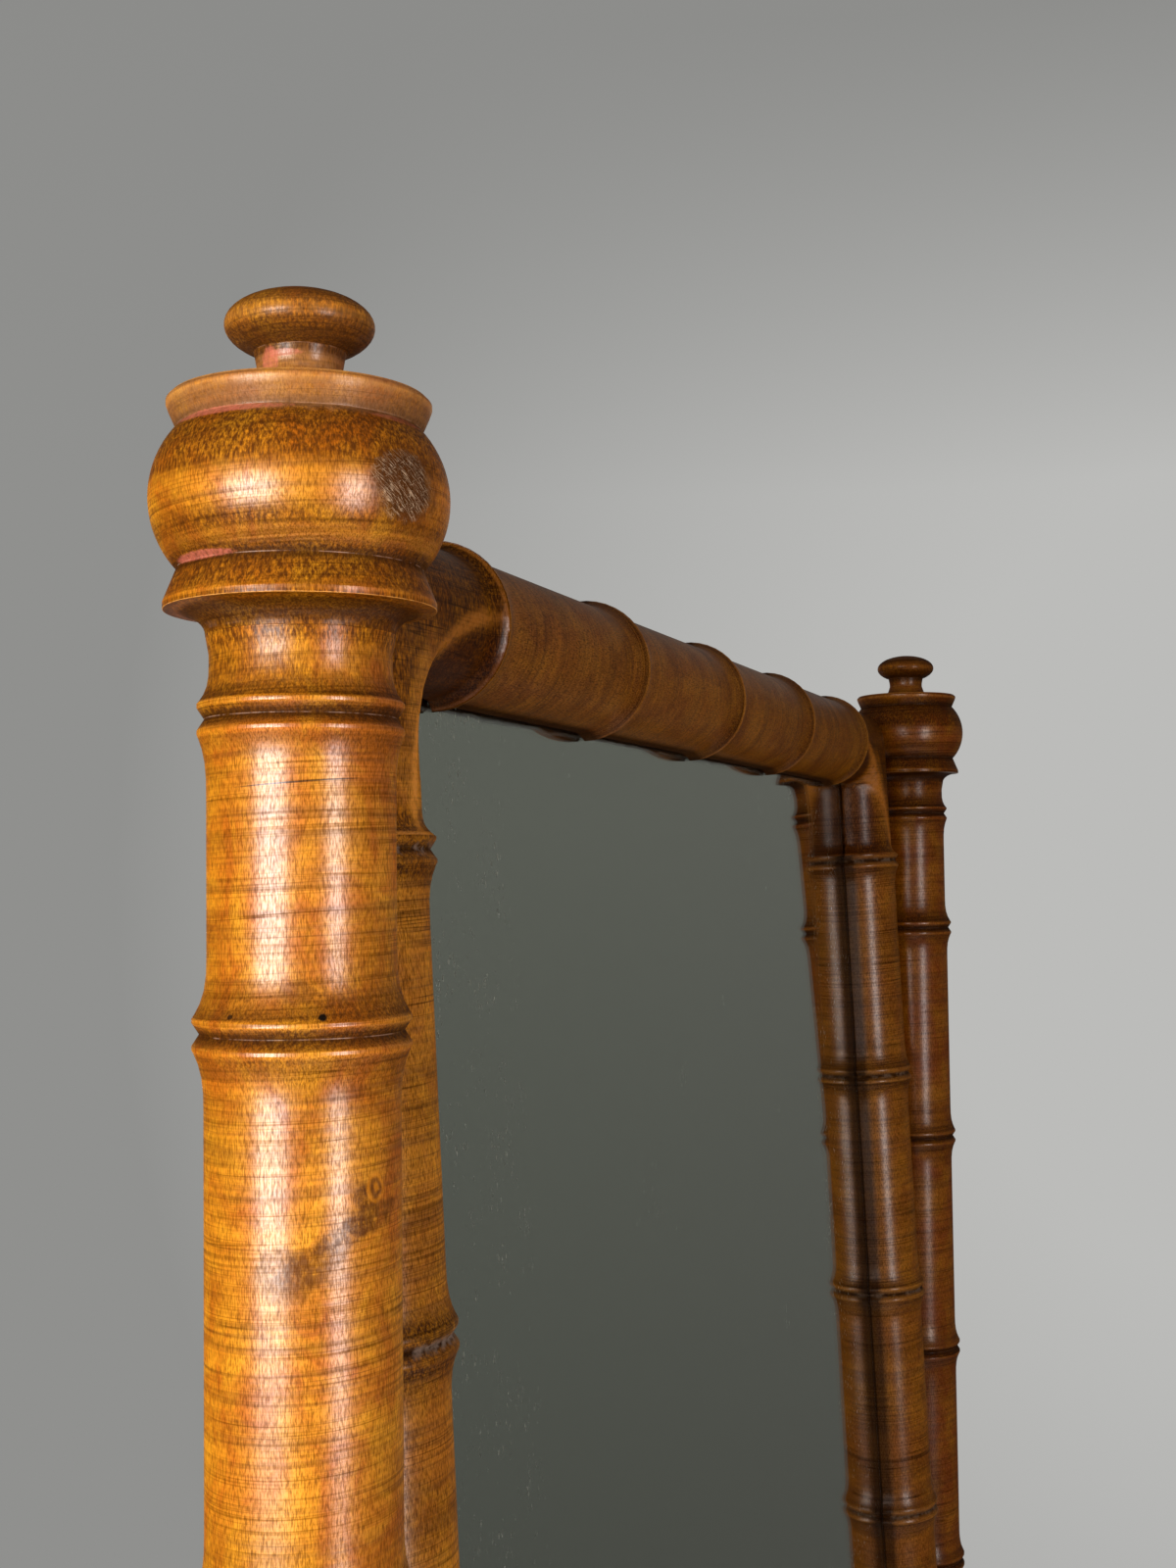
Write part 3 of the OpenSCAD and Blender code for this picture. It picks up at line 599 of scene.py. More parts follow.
def between(points: Bands, place: float) -> float:
    """The value at a place on a line through points in rising order, or nought without points."""
    if not points or place <= points[0][0] or place >= points[-1][0]:
        return 0.0
    for (a, low), (b, high) in zip(points, points[1:]):
        if place <= b:
            return low + (high - low) * (place - a) / (b - a)
    return 0.0


def lay_grain(piece: Piece, axis: Axis, seed: int) -> list[Vector]:
    """Stores the lie of a piece's grain.

    Args:
        piece: The finished piece.
        axis: Axis that its grain runs along.
        seed: Number that shifts the grain, so that no two pieces match.

    Returns:
        Its points in the coordinates of the axis.
    """
    data = piece.data
    draw = random.Random(seed)
    shift = Vector((draw.uniform(-1, 1), draw.uniform(-1, 1), draw.uniform(-5, 5)))
    places = [axis.local(v.co) for v in data.vertices]
    lay = data.attributes.new("lay", "FLOAT_VECTOR", "POINT")
    lay.data.foreach_set("vector", [c for p in places for c in p])
    shifted = data.attributes.new("shift", "FLOAT_VECTOR", "POINT")
    shifted.data.foreach_set("vector", list(shift) * len(places))
    return places


def store(piece: Piece, word: str, values: list[float]) -> None:
    """Writes one value for each point under a word that the finishes read."""
    piece.data.attributes[word].data.foreach_set("value", values)


def mark_shape(
    piece: Piece,
    axis: Axis,
    seed: int,
    tone: float = 0.0,
    toned_and_shaded: Bands = (),
    front: Vector | None = None,
    hollow: float = 1.0,
) -> None:
    """Stores what the finishes read: lie of the grain, worn ridges with a painted highlight,
    creases, shelter for brown and painted shade, and tone.

    Args:
        piece: The finished piece.
        axis: Axis that its grain runs along.
        seed: Number that shifts the grain, so that no two pieces match.
        tone: How much darker this piece is painted than its fellows, partly a darker polish and
            partly painted shade.
        toned_and_shaded: Station and strength of the brown bands, partly laid on by the polisher
            and partly painted shade, in rising order.
        front: Direction of a piece's turned side, where its back is flat.
        hollow: Strength of the brown and painted shade that its own hollows hold.
    """
    data = piece.data
    places = lay_grain(piece, axis, seed)
    mesh = bmesh.new()
    mesh.from_mesh(data)
    ridge = [0.0] * len(places)
    crease = [0.0] * len(places)
    for edge in mesh.edges:
        if len(edge.link_faces) != 2:
            continue
        bend = edge.calc_face_angle_signed(0.0)
        for v in edge.verts:
            ridge[v.index] = max(ridge[v.index], min(1.0, (bend - RIDGE_START) / RIDGE_SPAN))
            crease[v.index] = max(crease[v.index], min(1.0, (-bend - CREASE_START) / CREASE_SPAN))
    mesh.free()
    ahead = [front is None or (v.co - axis.middle).dot(front) >= 0 for v in data.vertices]
    contour = Contour.of([p for p, turned in zip(places, ahead) if turned])
    # Shelter from the slopes beside each station darkens grooves and hollows, partly as painted
    # shade
    near, wide = contour.shelter(GROOVE_REACH), contour.shelter(HOLLOW_REACH)
    layers = {
        "ridge": ridge,
        "crease": crease,
        "groove": [contour.at(near, p.z) for p in places],
        "shelter": [max(between(toned_and_shaded, p.z), hollow * contour.at(wide, p.z)) for p in places],
        "tone": [tone] * len(places),
    }
    for word, values in layers.items():
        data.attributes.new(word, "FLOAT", "POINT")
        store(piece, word, values)


# ---- finishes ----


class Bench:
    """Lays out a node tree: adds nodes, gives them values and joins them."""

    def __init__(self, tree: Tree) -> None:
        """Takes the tree to work on."""
        self.tree = tree

    def add(self, kind: str, links: dict | None = None, **settings: object) -> Node:
        """Adds one node.

        Args:
            kind: Blender's name of the node, without its ShaderNode.
            links: Value or output for each input, by the input's name or number.
            settings: Properties of the node.

        Returns:
            The node.
        """
        node = self.tree.nodes.new("ShaderNode" + kind)
        for word, value in settings.items():
            setattr(node, word, value)
        for key, value in (links or {}).items():
            self.put(node.inputs[key], value)
        return node

    def put(self, socket: Socket, value: object) -> None:
        """Joins an output to an input, or sets the input's own value."""
        if isinstance(value, Socket):
            self.tree.links.new(value, socket)
        else:
            socket.default_value = value

    def give(self, inputs: bpy.types.NodeInputs, values: dict[str, object]) -> None:
        """Joins or sets several inputs of one node, by their names."""
        for word, value in values.items():
            self.put(inputs[word], value)

    def read(self, word: str, kind: str = "Fac") -> Socket:
        """What a piece stores under a word, as a Fac or a Vector."""
        return self.add("Attribute", attribute_name=word).outputs[kind]

    def math(
        self, how: str, a: object, b: object = 0.0, c: object = 0.0, clamp: bool = False
    ) -> Socket:
        """A sum of up to three values."""
        return self.add("Math", {0: a, 1: b, 2: c}, operation=how, use_clamp=clamp).outputs[0]

    def times(self, a: object, b: object, clamp: bool = False) -> Socket:
        """The product of two values."""
        return self.math("MULTIPLY", a, b, clamp=clamp)

    def scaled(self, a: object, b: object, c: object) -> Socket:
        """The product of two values, and a third added."""
        return self.math("MULTIPLY_ADD", a, b, c)

    def less(self, a: object, b: object) -> Socket:
        """The first value less the second."""
        return self.math("SUBTRACT", a, b)

    def most(self, a: object, b: object) -> Socket:
        """The larger of two values."""
        return self.math("MAXIMUM", a, b)

    def noise(
        self,
        at: object,
        scale: float = 1.0,
        detail: float = 2.0,
        rough: float = 0.5,
        bend: float = 0.0,
    ) -> Socket:
        """A cloud of values from nought to one."""
        links = {"Vector": at, "Scale": scale, "Detail": detail}
        links |= {"Roughness": rough, "Distortion": bend}
        return self.add("TexNoise", links).outputs["Fac"]

    def drawn(self, at: object, scale: Triple, detail: float = 2.0, rough: float = 0.5) -> Socket:
        """A cloud of values drawn out along an axis."""
        return self.noise(self.stretch(at, scale), 1.0, detail, rough)

    def ramp(
        self, value: object, low: float, high: float, start: float = 0.0, end: float = 1.0
    ) -> Socket:
        """A clamped step from one value to another."""
        links = {"Value": value, "From Min": low, "From Max": high, "To Min": start, "To Max": end}
        return self.add("MapRange", links).outputs["Result"]

    def stretch(self, at: object, scale: Triple, turn: Triple = (0, 0, 0)) -> Socket:
        """Coordinates stretched and turned."""
        links = {"Vector": at, "Scale": scale, "Rotation": turn}
        return self.add("Mapping", links).outputs["Vector"]

    def blend(self, share: object, a: object, b: object, how: str = "MIX") -> Socket:
        """One colour laid over another."""
        node = self.tree.nodes.new("ShaderNodeMix")
        node.data_type = "RGBA"
        node.blend_type = how
        for socket, value in ((node.inputs[0], share), (node.inputs[6], a), (node.inputs[7], b)):
            self.put(socket, value)
        return node.outputs[2]

    def relief(self, height: object, strength: float, depth: float) -> Socket:
        """The surface's normal, bent by a height."""
        links = {"Height": height, "Strength": strength, "Distance": depth}
        return self.add("Bump", links).outputs["Normal"]


def new_material(name: str) -> tuple[Material, Bench, bpy.types.NodeInputs]:
    """Starts a material.

    Args:
        name: Its name.

    Returns:
        The material, its bench and the inputs of its shader.
    """
    material = bpy.data.materials.new(name)
    material.use_nodes = True
    tree = material.node_tree
    return material, Bench(tree), tree.nodes["Principled BSDF"].inputs


def new_group(
    name: str, inputs: dict[str, tuple[str, object]], outputs: tuple[tuple[str, str], ...]
) -> tuple[Tree, Bench, bpy.types.NodeOutputs, bpy.types.NodeInputs]:
    """Starts a shader node group with named sockets.

    Args:
        name: Name of the group.
        inputs: Kind of socket and usual value of each input.
        outputs: Name and kind of socket of each output.

    Returns:
        The group, its bench, what it is given, and what it puts out.
    """
    tree = bpy.data.node_groups.new(name, "ShaderNodeTree")
    sockets = tree.interface
    for word, (kind, usual) in inputs.items():
        socket = sockets.new_socket(name=word, in_out="INPUT", socket_type="NodeSocket" + kind)
        if usual is not None:
            socket.default_value = usual
    for word, kind in outputs:
        sockets.new_socket(name=word, in_out="OUTPUT", socket_type="NodeSocket" + kind)
    given, out = tree.nodes.new("NodeGroupInput"), tree.nodes.new("NodeGroupOutput")
    return tree, Bench(tree), given.outputs, out.inputs


def rgb(red: float, green: float, blue: float) -> Colour:
    """A colour from its values in a picture, 0 to 255, as Blender's linear colour."""

    def linear(v: float) -> float:
        """One value made linear."""
        v /= 255
        return v / 12.92 if v <= 0.04045 else ((v + 0.055) / 1.055) ** 2.4

    return (linear(red), linear(green), linear(blue), 1.0)


class Effects:
    """The node groups that several finishes share."""

    def __init__(self) -> None:
        """Builds each group once."""
        self.turned_grain = self._turned_grain()
        self.wear = self._wear()
        self.patch = self._patch()

    def _patch(self) -> Tree:
        """A ragged oval on the surface of a turned piece, and the place inside it."""
        tree, bench, given, out = new_group(
            "patch",
            {
                "Vector": ("Vector", None),
                "Place": ("Vector", (0, 0, 0)),
                "Turn": ("Vector", (0, 0, 0)),
                "Size": ("Vector", (1, 1, 1)),
                "Ragged": ("Float", 0.3),
                "Grain": ("Float", 600.0),
            },
            (("Mask", "Float"), ("Far", "Float"), ("Inside", "Vector")),
        )
        links = {
            "Vector": given["Vector"],
            "Location": given["Place"],
            "Rotation": given["Turn"],
            "Scale": given["Size"],
        }
        inside = bench.add("Mapping", links, vector_type="TEXTURE").outputs["Vector"]
        split = bench.add("SeparateXYZ", {0: inside}).outputs
        flat = bench.add("CombineXYZ", {1: split["Y"], 2: split["Z"]}).outputs[0]
        far = bench.add("VectorMath", {0: flat}, operation="LENGTH").outputs["Value"]
        cloud = bench.noise(given["Vector"], given["Grain"], 3.0, 0.6)
        rough = bench.times(bench.less(cloud, 0.5), given["Ragged"])
        edge = bench.ramp(bench.math("ADD", far, bench.times(rough, 2.0)), 1.0, 0.72)
        facing = bench.math("GREATER_THAN", split["X"], 0.0)
        bench.give(out, {"Mask": bench.times(edge, facing), "Far": far, "Inside": flat})
        return tree

    def _turned_grain(self) -> Tree:
        """Fibres along a turned piece, the tool's lines round it, bands and clouds."""
        words = ("Fibres", "Lines", "Bands", "Clouds", "Height")
        tree, bench, given, out = new_group(
            "turned_grain", {"Vector": ("Vector", None)}, tuple((word, "Float") for word in words)
        )
        at = given["Vector"]
        fibres = bench.drawn(at, (3400, 3400, 560), 2.0, 0.6)
        tilt = bench.stretch(at, (1.0, 1.0, 1.0), (0.035, 0.02, 0.0))
        fine = bench.ramp(bench.drawn(tilt, (14, 14, 1300), 2.0, 0.6), 0.48, 0.66)
        place = bench.drawn(tilt, (22, 22, 60))
        fine = bench.times(fine, bench.ramp(place, 0.36, 0.60, 0.25, 1.0))
        winding = bench.drawn(tilt, (2.5, 2.5, 210), 2.0, 0.7)
        gap = bench.math("ABSOLUTE", bench.less(winding, 0.5))
        strength = bench.ramp(bench.drawn(at, (30, 30, 160), 1.0), 0.40, 0.62)
        scored = bench.times(bench.ramp(gap, 0.014, 0.0), strength)
        lines = bench.most(bench.times(fine, 0.75), scored)
        bands = bench.drawn(tilt, (20, 20, 520), 4.0, 0.7)
        clouds = bench.noise(bench.stretch(at, (60, 60, 42)), 1.0, 5.0, 0.68, 0.8)
        height = bench.scaled(lines, -0.7, bench.times(fibres, 0.35))
        bench.give(out, dict(zip(words, (fibres, lines, bands, clouds, height))))
        return tree

    def _wear(self) -> Tree:
        """Worn ridges with a painted highlight, the polisher's brown and painted shade left in
        sheltered wood, and residue deep in the grooves.
        """
        stored = {word: ("Float", 0.0) for word in ("Ridge", "Crease", "Groove", "Shelter")}
        words = ("RubbedAndHighlit", "TonerAndShade", "Residue", "DirtAndShadow")
        tree, bench, given, out = new_group(
            "wear", {"Vector": ("Vector", None), **stored}, tuple((word, "Float") for word in words)
        )
        at = given["Vector"]
        fine = bench.noise(at, 420.0, 3.0, 0.6)
        broad = bench.drawn(at, (30, 30, 60), 3.0, 0.6)
        # Worn ridges, lighter partly as a painted highlight on the edges
        rubbed = bench.times(given["Ridge"], bench.ramp(fine, 0.34, 0.52), clamp=True)
        open_wood = bench.ramp(given["Ridge"], 0.15, 0.7, 1.0, 0.0)
        # Sheltered wood takes the polisher's brown and painted shade
        toner = bench.scaled(bench.less(broad, 0.5), 0.9, given["Shelter"])
        toner = bench.times(bench.ramp(toner, 0.02, 0.60), open_wood)
        deep = bench.times(bench.ramp(given["Crease"], 0.2, 0.9), open_wood)
        residue = bench.times(deep, bench.ramp(bench.noise(at, 150.0, 3.0, 0.7), 0.47, 0.58))
        # Grime in the grooves, partly painted shade, and the shadow painted beside the glass
        dirt_and_shadow = bench.times(bench.ramp(given["Groove"], 0.15, 0.75), open_wood)
        bench.give(out, dict(zip(words, (rubbed, toner, residue, dirt_and_shadow))))
        return tree


@dataclass(frozen=True)
class PolishedWood:
    """Old turned wood, browned in its hollows by its polisher and by painted shade, under satin
    polish.

    Attributes:
        name: Name of the material.
        pale: Colour where the polisher's brown is worn thin.
        deep: Colour of its darker clouds.
        toner: Colour of the polisher's brown in sheltered wood, and of the shade painted there.
        dark: Colour of the tool's lines, of grime and painted shade in the grooves, and of the
            shadow painted beside the glass.
        rubbed: Colour of worn ridges, partly a painted highlight on the edges.
        residue: Colour of old polish left in the grooves.
        worn: Share of the worn and highlit colour on ridges.
        lines: Strength of the tool's lines.
        fibres: Strength of the fibres.
        roughness: Roughness under the polish.
        shade: What a darker piece's colour is multiplied by.
        scratched: Dark and bright colour of a scuff's scratches.
        rouge: Colour of old polishing rouge.
        film: Colour of the greyish layer on the near finial, and of the sheen painted on its knob.
        knot: Colours of a knot's rings.
        pit: Colour of a pin hole and of a crack.
        scratch_sets: Lean, closeness along and across, and rarity of a scuff's scratches.
    """

    name: str
    pale: Colour
    deep: Colour
    toner: Colour
    dark: Colour
    rubbed: Colour
    residue: Colour
    worn: float = 0.8
    lines: float = 0.62
    fibres: float = 0.72
    roughness: float = 0.36
    shade: Colour = (0.26, 0.19, 0.10, 1.0)
    scratched: tuple[Colour, Colour] = (rgb(50, 29, 14), rgb(214, 184, 152))
    rouge: Colour = rgb(220, 118, 96)
    film: Colour = rgb(162, 112, 72)
    knot: tuple[Colour, Colour] = (rgb(226, 138, 26), rgb(98, 50, 8))
    pit: Colour = rgb(20, 9, 3)
    scratch_sets: tuple[tuple[float, ...], ...] = (
        (38, 2.0, 26.0, 0.55),
        (54, 2.8, 38.0, 0.57),
        (-30, 3.2, 30.0, 0.61),
    )

    def make(
        self,
        effects: Effects,
        name: str | None = None,
        marks: tuple[Mark, ...] = (),
        middle: float = 0.0,
    ) -> Material:
        """Builds the material.

        Args:
            effects: The shared node groups.
            name: Name of the material, where it isn't the finish's own.
            marks: Traces at their places on one piece.
            middle: Height of that piece's middle above the floor.

        Returns:
            The material.
        """
        material, bench, shader = new_material(name or self.name)
        lay = bench.read("lay", "Vector")
        links = {0: lay, 1: bench.read("shift", "Vector")}
        at = bench.add("VectorMath", links, operation="ADD").outputs["Vector"]
        grain = bench.add("Group", {"Vector": at}, node_tree=effects.turned_grain).outputs
        words = ("Ridge", "Crease", "Groove", "Shelter")
        stored = {word: bench.read(word.lower()) for word in words}
        wear = bench.add("Group", {"Vector": at, **stored}, node_tree=effects.wear).outputs
        tone = bench.read("tone")
        colour = bench.blend(bench.ramp(grain["Clouds"], 0.38, 0.62), self.pale, self.deep)
        colour = bench.blend(bench.ramp(grain["Bands"], 0.46, 0.66, 0.0, 0.45), colour, self.toner)
        speckle = bench.drawn(at, (1500, 1500, 420), 3.0, 0.65)
        # Painted shade and the polisher's brown in sheltered wood, broken by speckle
        share = bench.times(wear["TonerAndShade"], bench.ramp(speckle, 0.36, 0.60, 0.22, 1.0))
        colour = bench.blend(share, colour, self.toner)
        fleck = bench.ramp(grain["Fibres"], 0.44, 0.66, 0.0, self.fibres)
        colour = bench.blend(fleck, colour, self.toner)
        for value, strength, over in (
            (grain["Lines"], self.lines, self.dark),
            (wear["DirtAndShadow"], 0.75, self.dark),
            (wear["Residue"], 0.6, self.residue),
            (wear["RubbedAndHighlit"], self.worn, self.rubbed),
        ):
            colour = bench.blend(bench.times(value, strength), colour, over)
        # Darker pieces, partly a darker polish and partly painted shade
        darker = bench.blend(1.0, colour, self.shade, "MULTIPLY")
        colour = bench.blend(tone, colour, darker)
        rough = bench.scaled(wear["DirtAndShadow"], 0.25, self.roughness)
        rough = bench.scaled(grain["Clouds"], 0.12, rough)
        height, dull = grain["Height"], wear["DirtAndShadow"]
        for mark in marks:
            under = (colour, dull, height)
            colour, dull, height = self.trace(bench, effects, mark, middle, lay, under)
        facing = bench.add("LayerWeight", {"Blend": 0.5}).outputs["Facing"]
        polish = bench.ramp(facing, 0.36, 0.76, 1.0, 0.04)
        for value, low, high, least in (
            (bench.most(wear["TonerAndShade"], dull), 0.1, 0.9, 0.35),
            (tone, 0.3, 0.75, 0.5),
            (grain["Fibres"], 0.40, 0.60, 0.35),
            (grain["Lines"], 0.1, 0.8, 0.3),
        ):
            polish = bench.times(polish, bench.ramp(value, low, high, 1.0, least))
        values = {
            "Base Color": colour,
            "Roughness": rough,
            "Normal": bench.relief(height, 0.5, 0.1 * MM),
            "Coat Weight": polish,
            "Coat Roughness": 0.28,
            "Coat IOR": 1.95,
            "Specular IOR Level": 0.04,
        }
        bench.give(shader, values)
        return material

    def trace(
        self,
        bench: Bench,
        effects: Effects,
        mark: Mark,
        middle: float,
        lay: Socket,
        under: tuple[Socket, ...],
    ) -> tuple[Socket, ...]:
        """Lays one trace over the finish.

        Args:
            bench: The bench of the material.
            effects: The shared node groups.
            mark: The trace and its place.
            middle: Height of the piece's middle above the floor.
            lay: The piece's own coordinates.
            under: Colour, dullness and height of the finish below.

        Returns:
            Colour, dullness and height with the trace.
        """
        colour, dull, height = under
        links = {
            "Vector": lay,
            "Place": (0.0, 0.0, KNOB_LEVEL - mark.drop - middle),
            "Turn": (math.radians(mark.lean), 0.0, math.radians(mark.turn)),
            "Size": (1.0, mark.across, mark.up),
            "Grain": 1.6 / min(mark.across, mark.up),
        }
        patch = bench.add("Group", links, node_tree=effects.patch).outputs
        mask = bench.times(patch["Mask"], mark.strength)
        if mark.trace is Trace.SCUFF:
            scratches = 0.0
            for lean, wide, long, low in self.scratch_sets:
                turn = (math.radians(lean), 0.0, 0.0)
                slant = bench.stretch(patch["Inside"], (1.0, 1.0, 1.0), turn)
                slant = bench.stretch(slant, (1.0, wide, long))
                line = bench.ramp(bench.noise(slant, 1.0, 2.0, 0.6, 0.2), low, low + 0.06)
                scratches = bench.most(scratches, line)
            worn = bench.blend(scratches, *self.scratched)
            colour = bench.blend(mask, colour, worn)
            dull = bench.most(dull, mask)
            height = bench.scaled(bench.times(mask, scratches), 1.6, height)
        elif mark.trace is Trace.ROUGE:
            streaks = bench.drawn(lay, (900, 900, 500), 3.0, 0.7)
            share = bench.times(mask, bench.ramp(streaks, 0.30, 0.62, 0.25, 1.0))
            colour = bench.blend(share, colour, self.rouge)
            dull = bench.most(dull, mask)
        # A greyish layer, which on the knob is a painted sheen
        elif mark.trace is Trace.FILM:
            specks = bench.drawn(lay, (1100, 1100, 700), 3.0, 0.7)
            share = bench.times(mask, bench.ramp(specks, 0.28, 0.62, 0.35, 1.0))
            colour = bench.blend(share, colour, self.film)
            dull = bench.most(dull, bench.times(mask, 1.6, clamp=True))
        elif mark.trace is Trace.KNOT:
            winding = bench.scaled(bench.noise(patch["Inside"], 1.3, 2.0), 0.55, patch["Far"])
            rings = bench.math("COSINE", bench.times(winding, 9.0))
            swirl = bench.blend(bench.ramp(rings, -0.8, 1.1), *self.knot)
            share = bench.times(mask, bench.ramp(patch["Far"], 1.0, 0.82))
            colour = bench.blend(share, colour, swirl)
        elif mark.trace is Trace.STAIN:
            flecks = bench.drawn(lay, (620, 620, 380), 4.0, 0.78)
            share = bench.times(mask, bench.ramp(flecks, 0.26, 0.56))
            colour = bench.blend(share, colour, self.toner)
            dull = bench.most(dull, bench.times(share, 0.5))
        else:
            colour = bench.blend(mask, colour, self.pit)
            height = bench.scaled(mask, -2.0, height)
        return colour, dull, height


@dataclass(frozen=True)
class BareWood:
    """Sawn softwood without polish, browned with age.

    Attributes:
        name: Name of the material.
        pale: Colour of the early wood.
        late: Colour of the late wood.
        dust: Colour of the dust in its pores.
        roughness: Roughness of the sawn face.
    """

    name: str = "bare_softwood"
    pale: Colour = rgb(206, 164, 108)
    late: Colour = rgb(158, 108, 60)
    dust: Colour = rgb(120, 92, 64)
    roughness: float = 0.72

    def make(self) -> Material:
        """Builds the material.

        Returns:
            The material.
        """
        material, bench, shader = new_material(self.name)
        links = {0: bench.read("lay", "Vector"), 1: bench.read("shift", "Vector")}
        at = bench.add("VectorMath", links, operation="ADD").outputs["Vector"]
        swell = bench.drawn(at, (5, 5, 0.9), 3.0, 0.4)
        place = bench.add("SeparateXYZ", {0: at}).outputs["X"]
        rings = bench.math("SINE", bench.scaled(swell, 150.0, bench.times(place, 260.0)))
        streaks = bench.drawn(at, (120, 120, 1.6), 3.0, 0.6)
        late = bench.times(bench.ramp(rings, -0.4, 1.0, 0.0, 0.6), bench.ramp(streaks, 0.35, 0.6))
        fibres = bench.drawn(at, (900, 900, 12), 3.0, 0.6)
        dusty = bench.ramp(bench.noise(at, 5.0, 4.0, 0.6), 0.45, 0.75, 0.0, 0.4)
        colour = bench.blend(late, self.pale, self.late)
        colour = bench.blend(bench.ramp(fibres, 0.42, 0.70, 0.0, 0.55), colour, self.dust)
        values = {
            "Base Color": bench.blend(dusty, colour, self.dust),
            "Roughness": bench.scaled(fibres, 0.2, self.roughness - 0.1),
            "Normal": bench.relief(bench.scaled(late, 0.5, fibres), 0.4, 0.15 * MM),
        }
        bench.give(shader, values)
        return material


@dataclass(frozen=True)
class PlainFinish:
    """Bare metal or leather on the small pieces.

    Attributes:
        name: Name of the material.
        light: Lighter colour of its clouding.
        dark: Darker colour of its clouding.
        metallic: Whether it is metal.
        roughness: Roughness between the clouds.
        scale: Clouds to a metre.
    """

    name: str
    light: Colour
    dark: Colour
    metallic: float = 0.0
    roughness: float = 0.5
    scale: float = 300.0

    def make(self) -> Material:
        """Builds the material.

        Returns:
            The material.
        """
        material, bench, shader = new_material(self.name)
        at = bench.add("TexCoord").outputs["Object"]
        cloud = bench.noise(at, self.scale, 3.0, 0.6)
        low, high = self.roughness - 0.08, self.roughness + 0.1
        values = {
            "Base Color": bench.blend(bench.ramp(cloud, 0.35, 0.65), self.light, self.dark),
            "Roughness": bench.ramp(cloud, 0.3, 0.7, low, high),
            "Normal": bench.relief(cloud, 0.2, 0.1 * MM),
            "Metallic": self.metallic,
        }
        bench.give(shader, values)
        return material


@dataclass(frozen=True)
class SilveredGlass:
    """Clear old glass over a silver coat with foxing.

    Attributes:
        clear: Colour of the glass.
        tint: Colour of the silver.
        spots: Colour of the foxing.
        bare: Colour of the shadow painted on the glass along the frame, drawn as perished silver.
        middle: Height of the middle of the glass that shows, above the floor.
        sight_up: Half of its height.
        sight_across: Half of its width.
    """

    clear: Colour = (0.93, 0.96, 0.94, 1.0)
    tint: Colour = (0.735, 0.755, 0.72, 1.0)
    spots: Colour = (0.74, 0.72, 0.62, 1.0)
    bare: Colour = (0.016, 0.015, 0.012, 1.0)
    middle: float = 1.0535
    sight_up: float = 0.6022
    sight_across: float = 0.3057

    def glass(self) -> Material:
        """The clear plate.

        Returns:
            The material of the glass.
        """
        material, bench, shader = new_material("clear_glass")
        values = {
            "Base Color": self.clear,
            "Roughness": 0.0,
            "Transmission Weight": 1.0,
            "IOR": 1.5,
        }
        bench.give(shader, values)
        return material

    def silver(self) -> Material:
        """The coat on its back.

        Returns:
            The material of the silver.
        """
        material, bench, shader = new_material("old_silvering")
        at = bench.add("TexCoord").outputs["Object"]
        sideways = bench.math("ABSOLUTE", bench.add("SeparateXYZ", {0: at}).outputs["X"])
        strip = bench.scaled(bench.drawn(at, (22, 22, 5)), 0.05, sideways)
        strip = bench.times(bench.ramp(strip, 0.222, 0.248), bench.ramp(strip, 0.318, 0.288))
        links = {"Vector": bench.stretch(at, (1.0, 1.0, 0.6)), "Scale": 420.0}
        cells = bench.add("TexVoronoi", links).outputs["Distance"]
        region = bench.noise(at, 62.0, 3.0, 0.65)
        stray = bench.ramp(bench.noise(at, 24.0, 2.0), 0.66, 0.72, 0.0, 0.7)
        share = bench.times(bench.most(strip, stray), 0.8)
        spot = bench.times(bench.ramp(cells, 0.34, 0.16), bench.ramp(region, 0.50, 0.58))
        spot = bench.times(spot, share)
        up = LEAN @ Vector((0, 0, 1))
        product = bench.add("VectorMath", {0: at, 1: tuple(up)}, operation="DOT_PRODUCT")
        rise = product.outputs["Value"]
        rise = bench.less(rise, up.z * self.middle)
        # A dark band at the edge of the sight, painted shadow of the frame drawn as perished silver
        wander = bench.scaled(bench.noise(at, 45.0, 3.0), 4 * MM, -2 * MM)
        near_rail = bench.less(bench.math("ABSOLUTE", rise), self.sight_up)
        near_stile = bench.less(sideways, self.sight_across)
        edge = bench.math("ADD", bench.most(near_rail, near_stile), wander)
        shaded_rim = bench.ramp(edge, -2.5 * MM, -0.5 * MM)
        metal = bench.blend(shaded_rim, self.tint, self.bare)
        values = {
            "Base Color": bench.blend(spot, metal, self.spots),
            "Roughness": bench.scaled(spot, 0.4, 0.01),
            "Metallic": bench.less(1.0, bench.most(spot, shaded_rim)),
        }
        bench.give(shader, values)
        return material


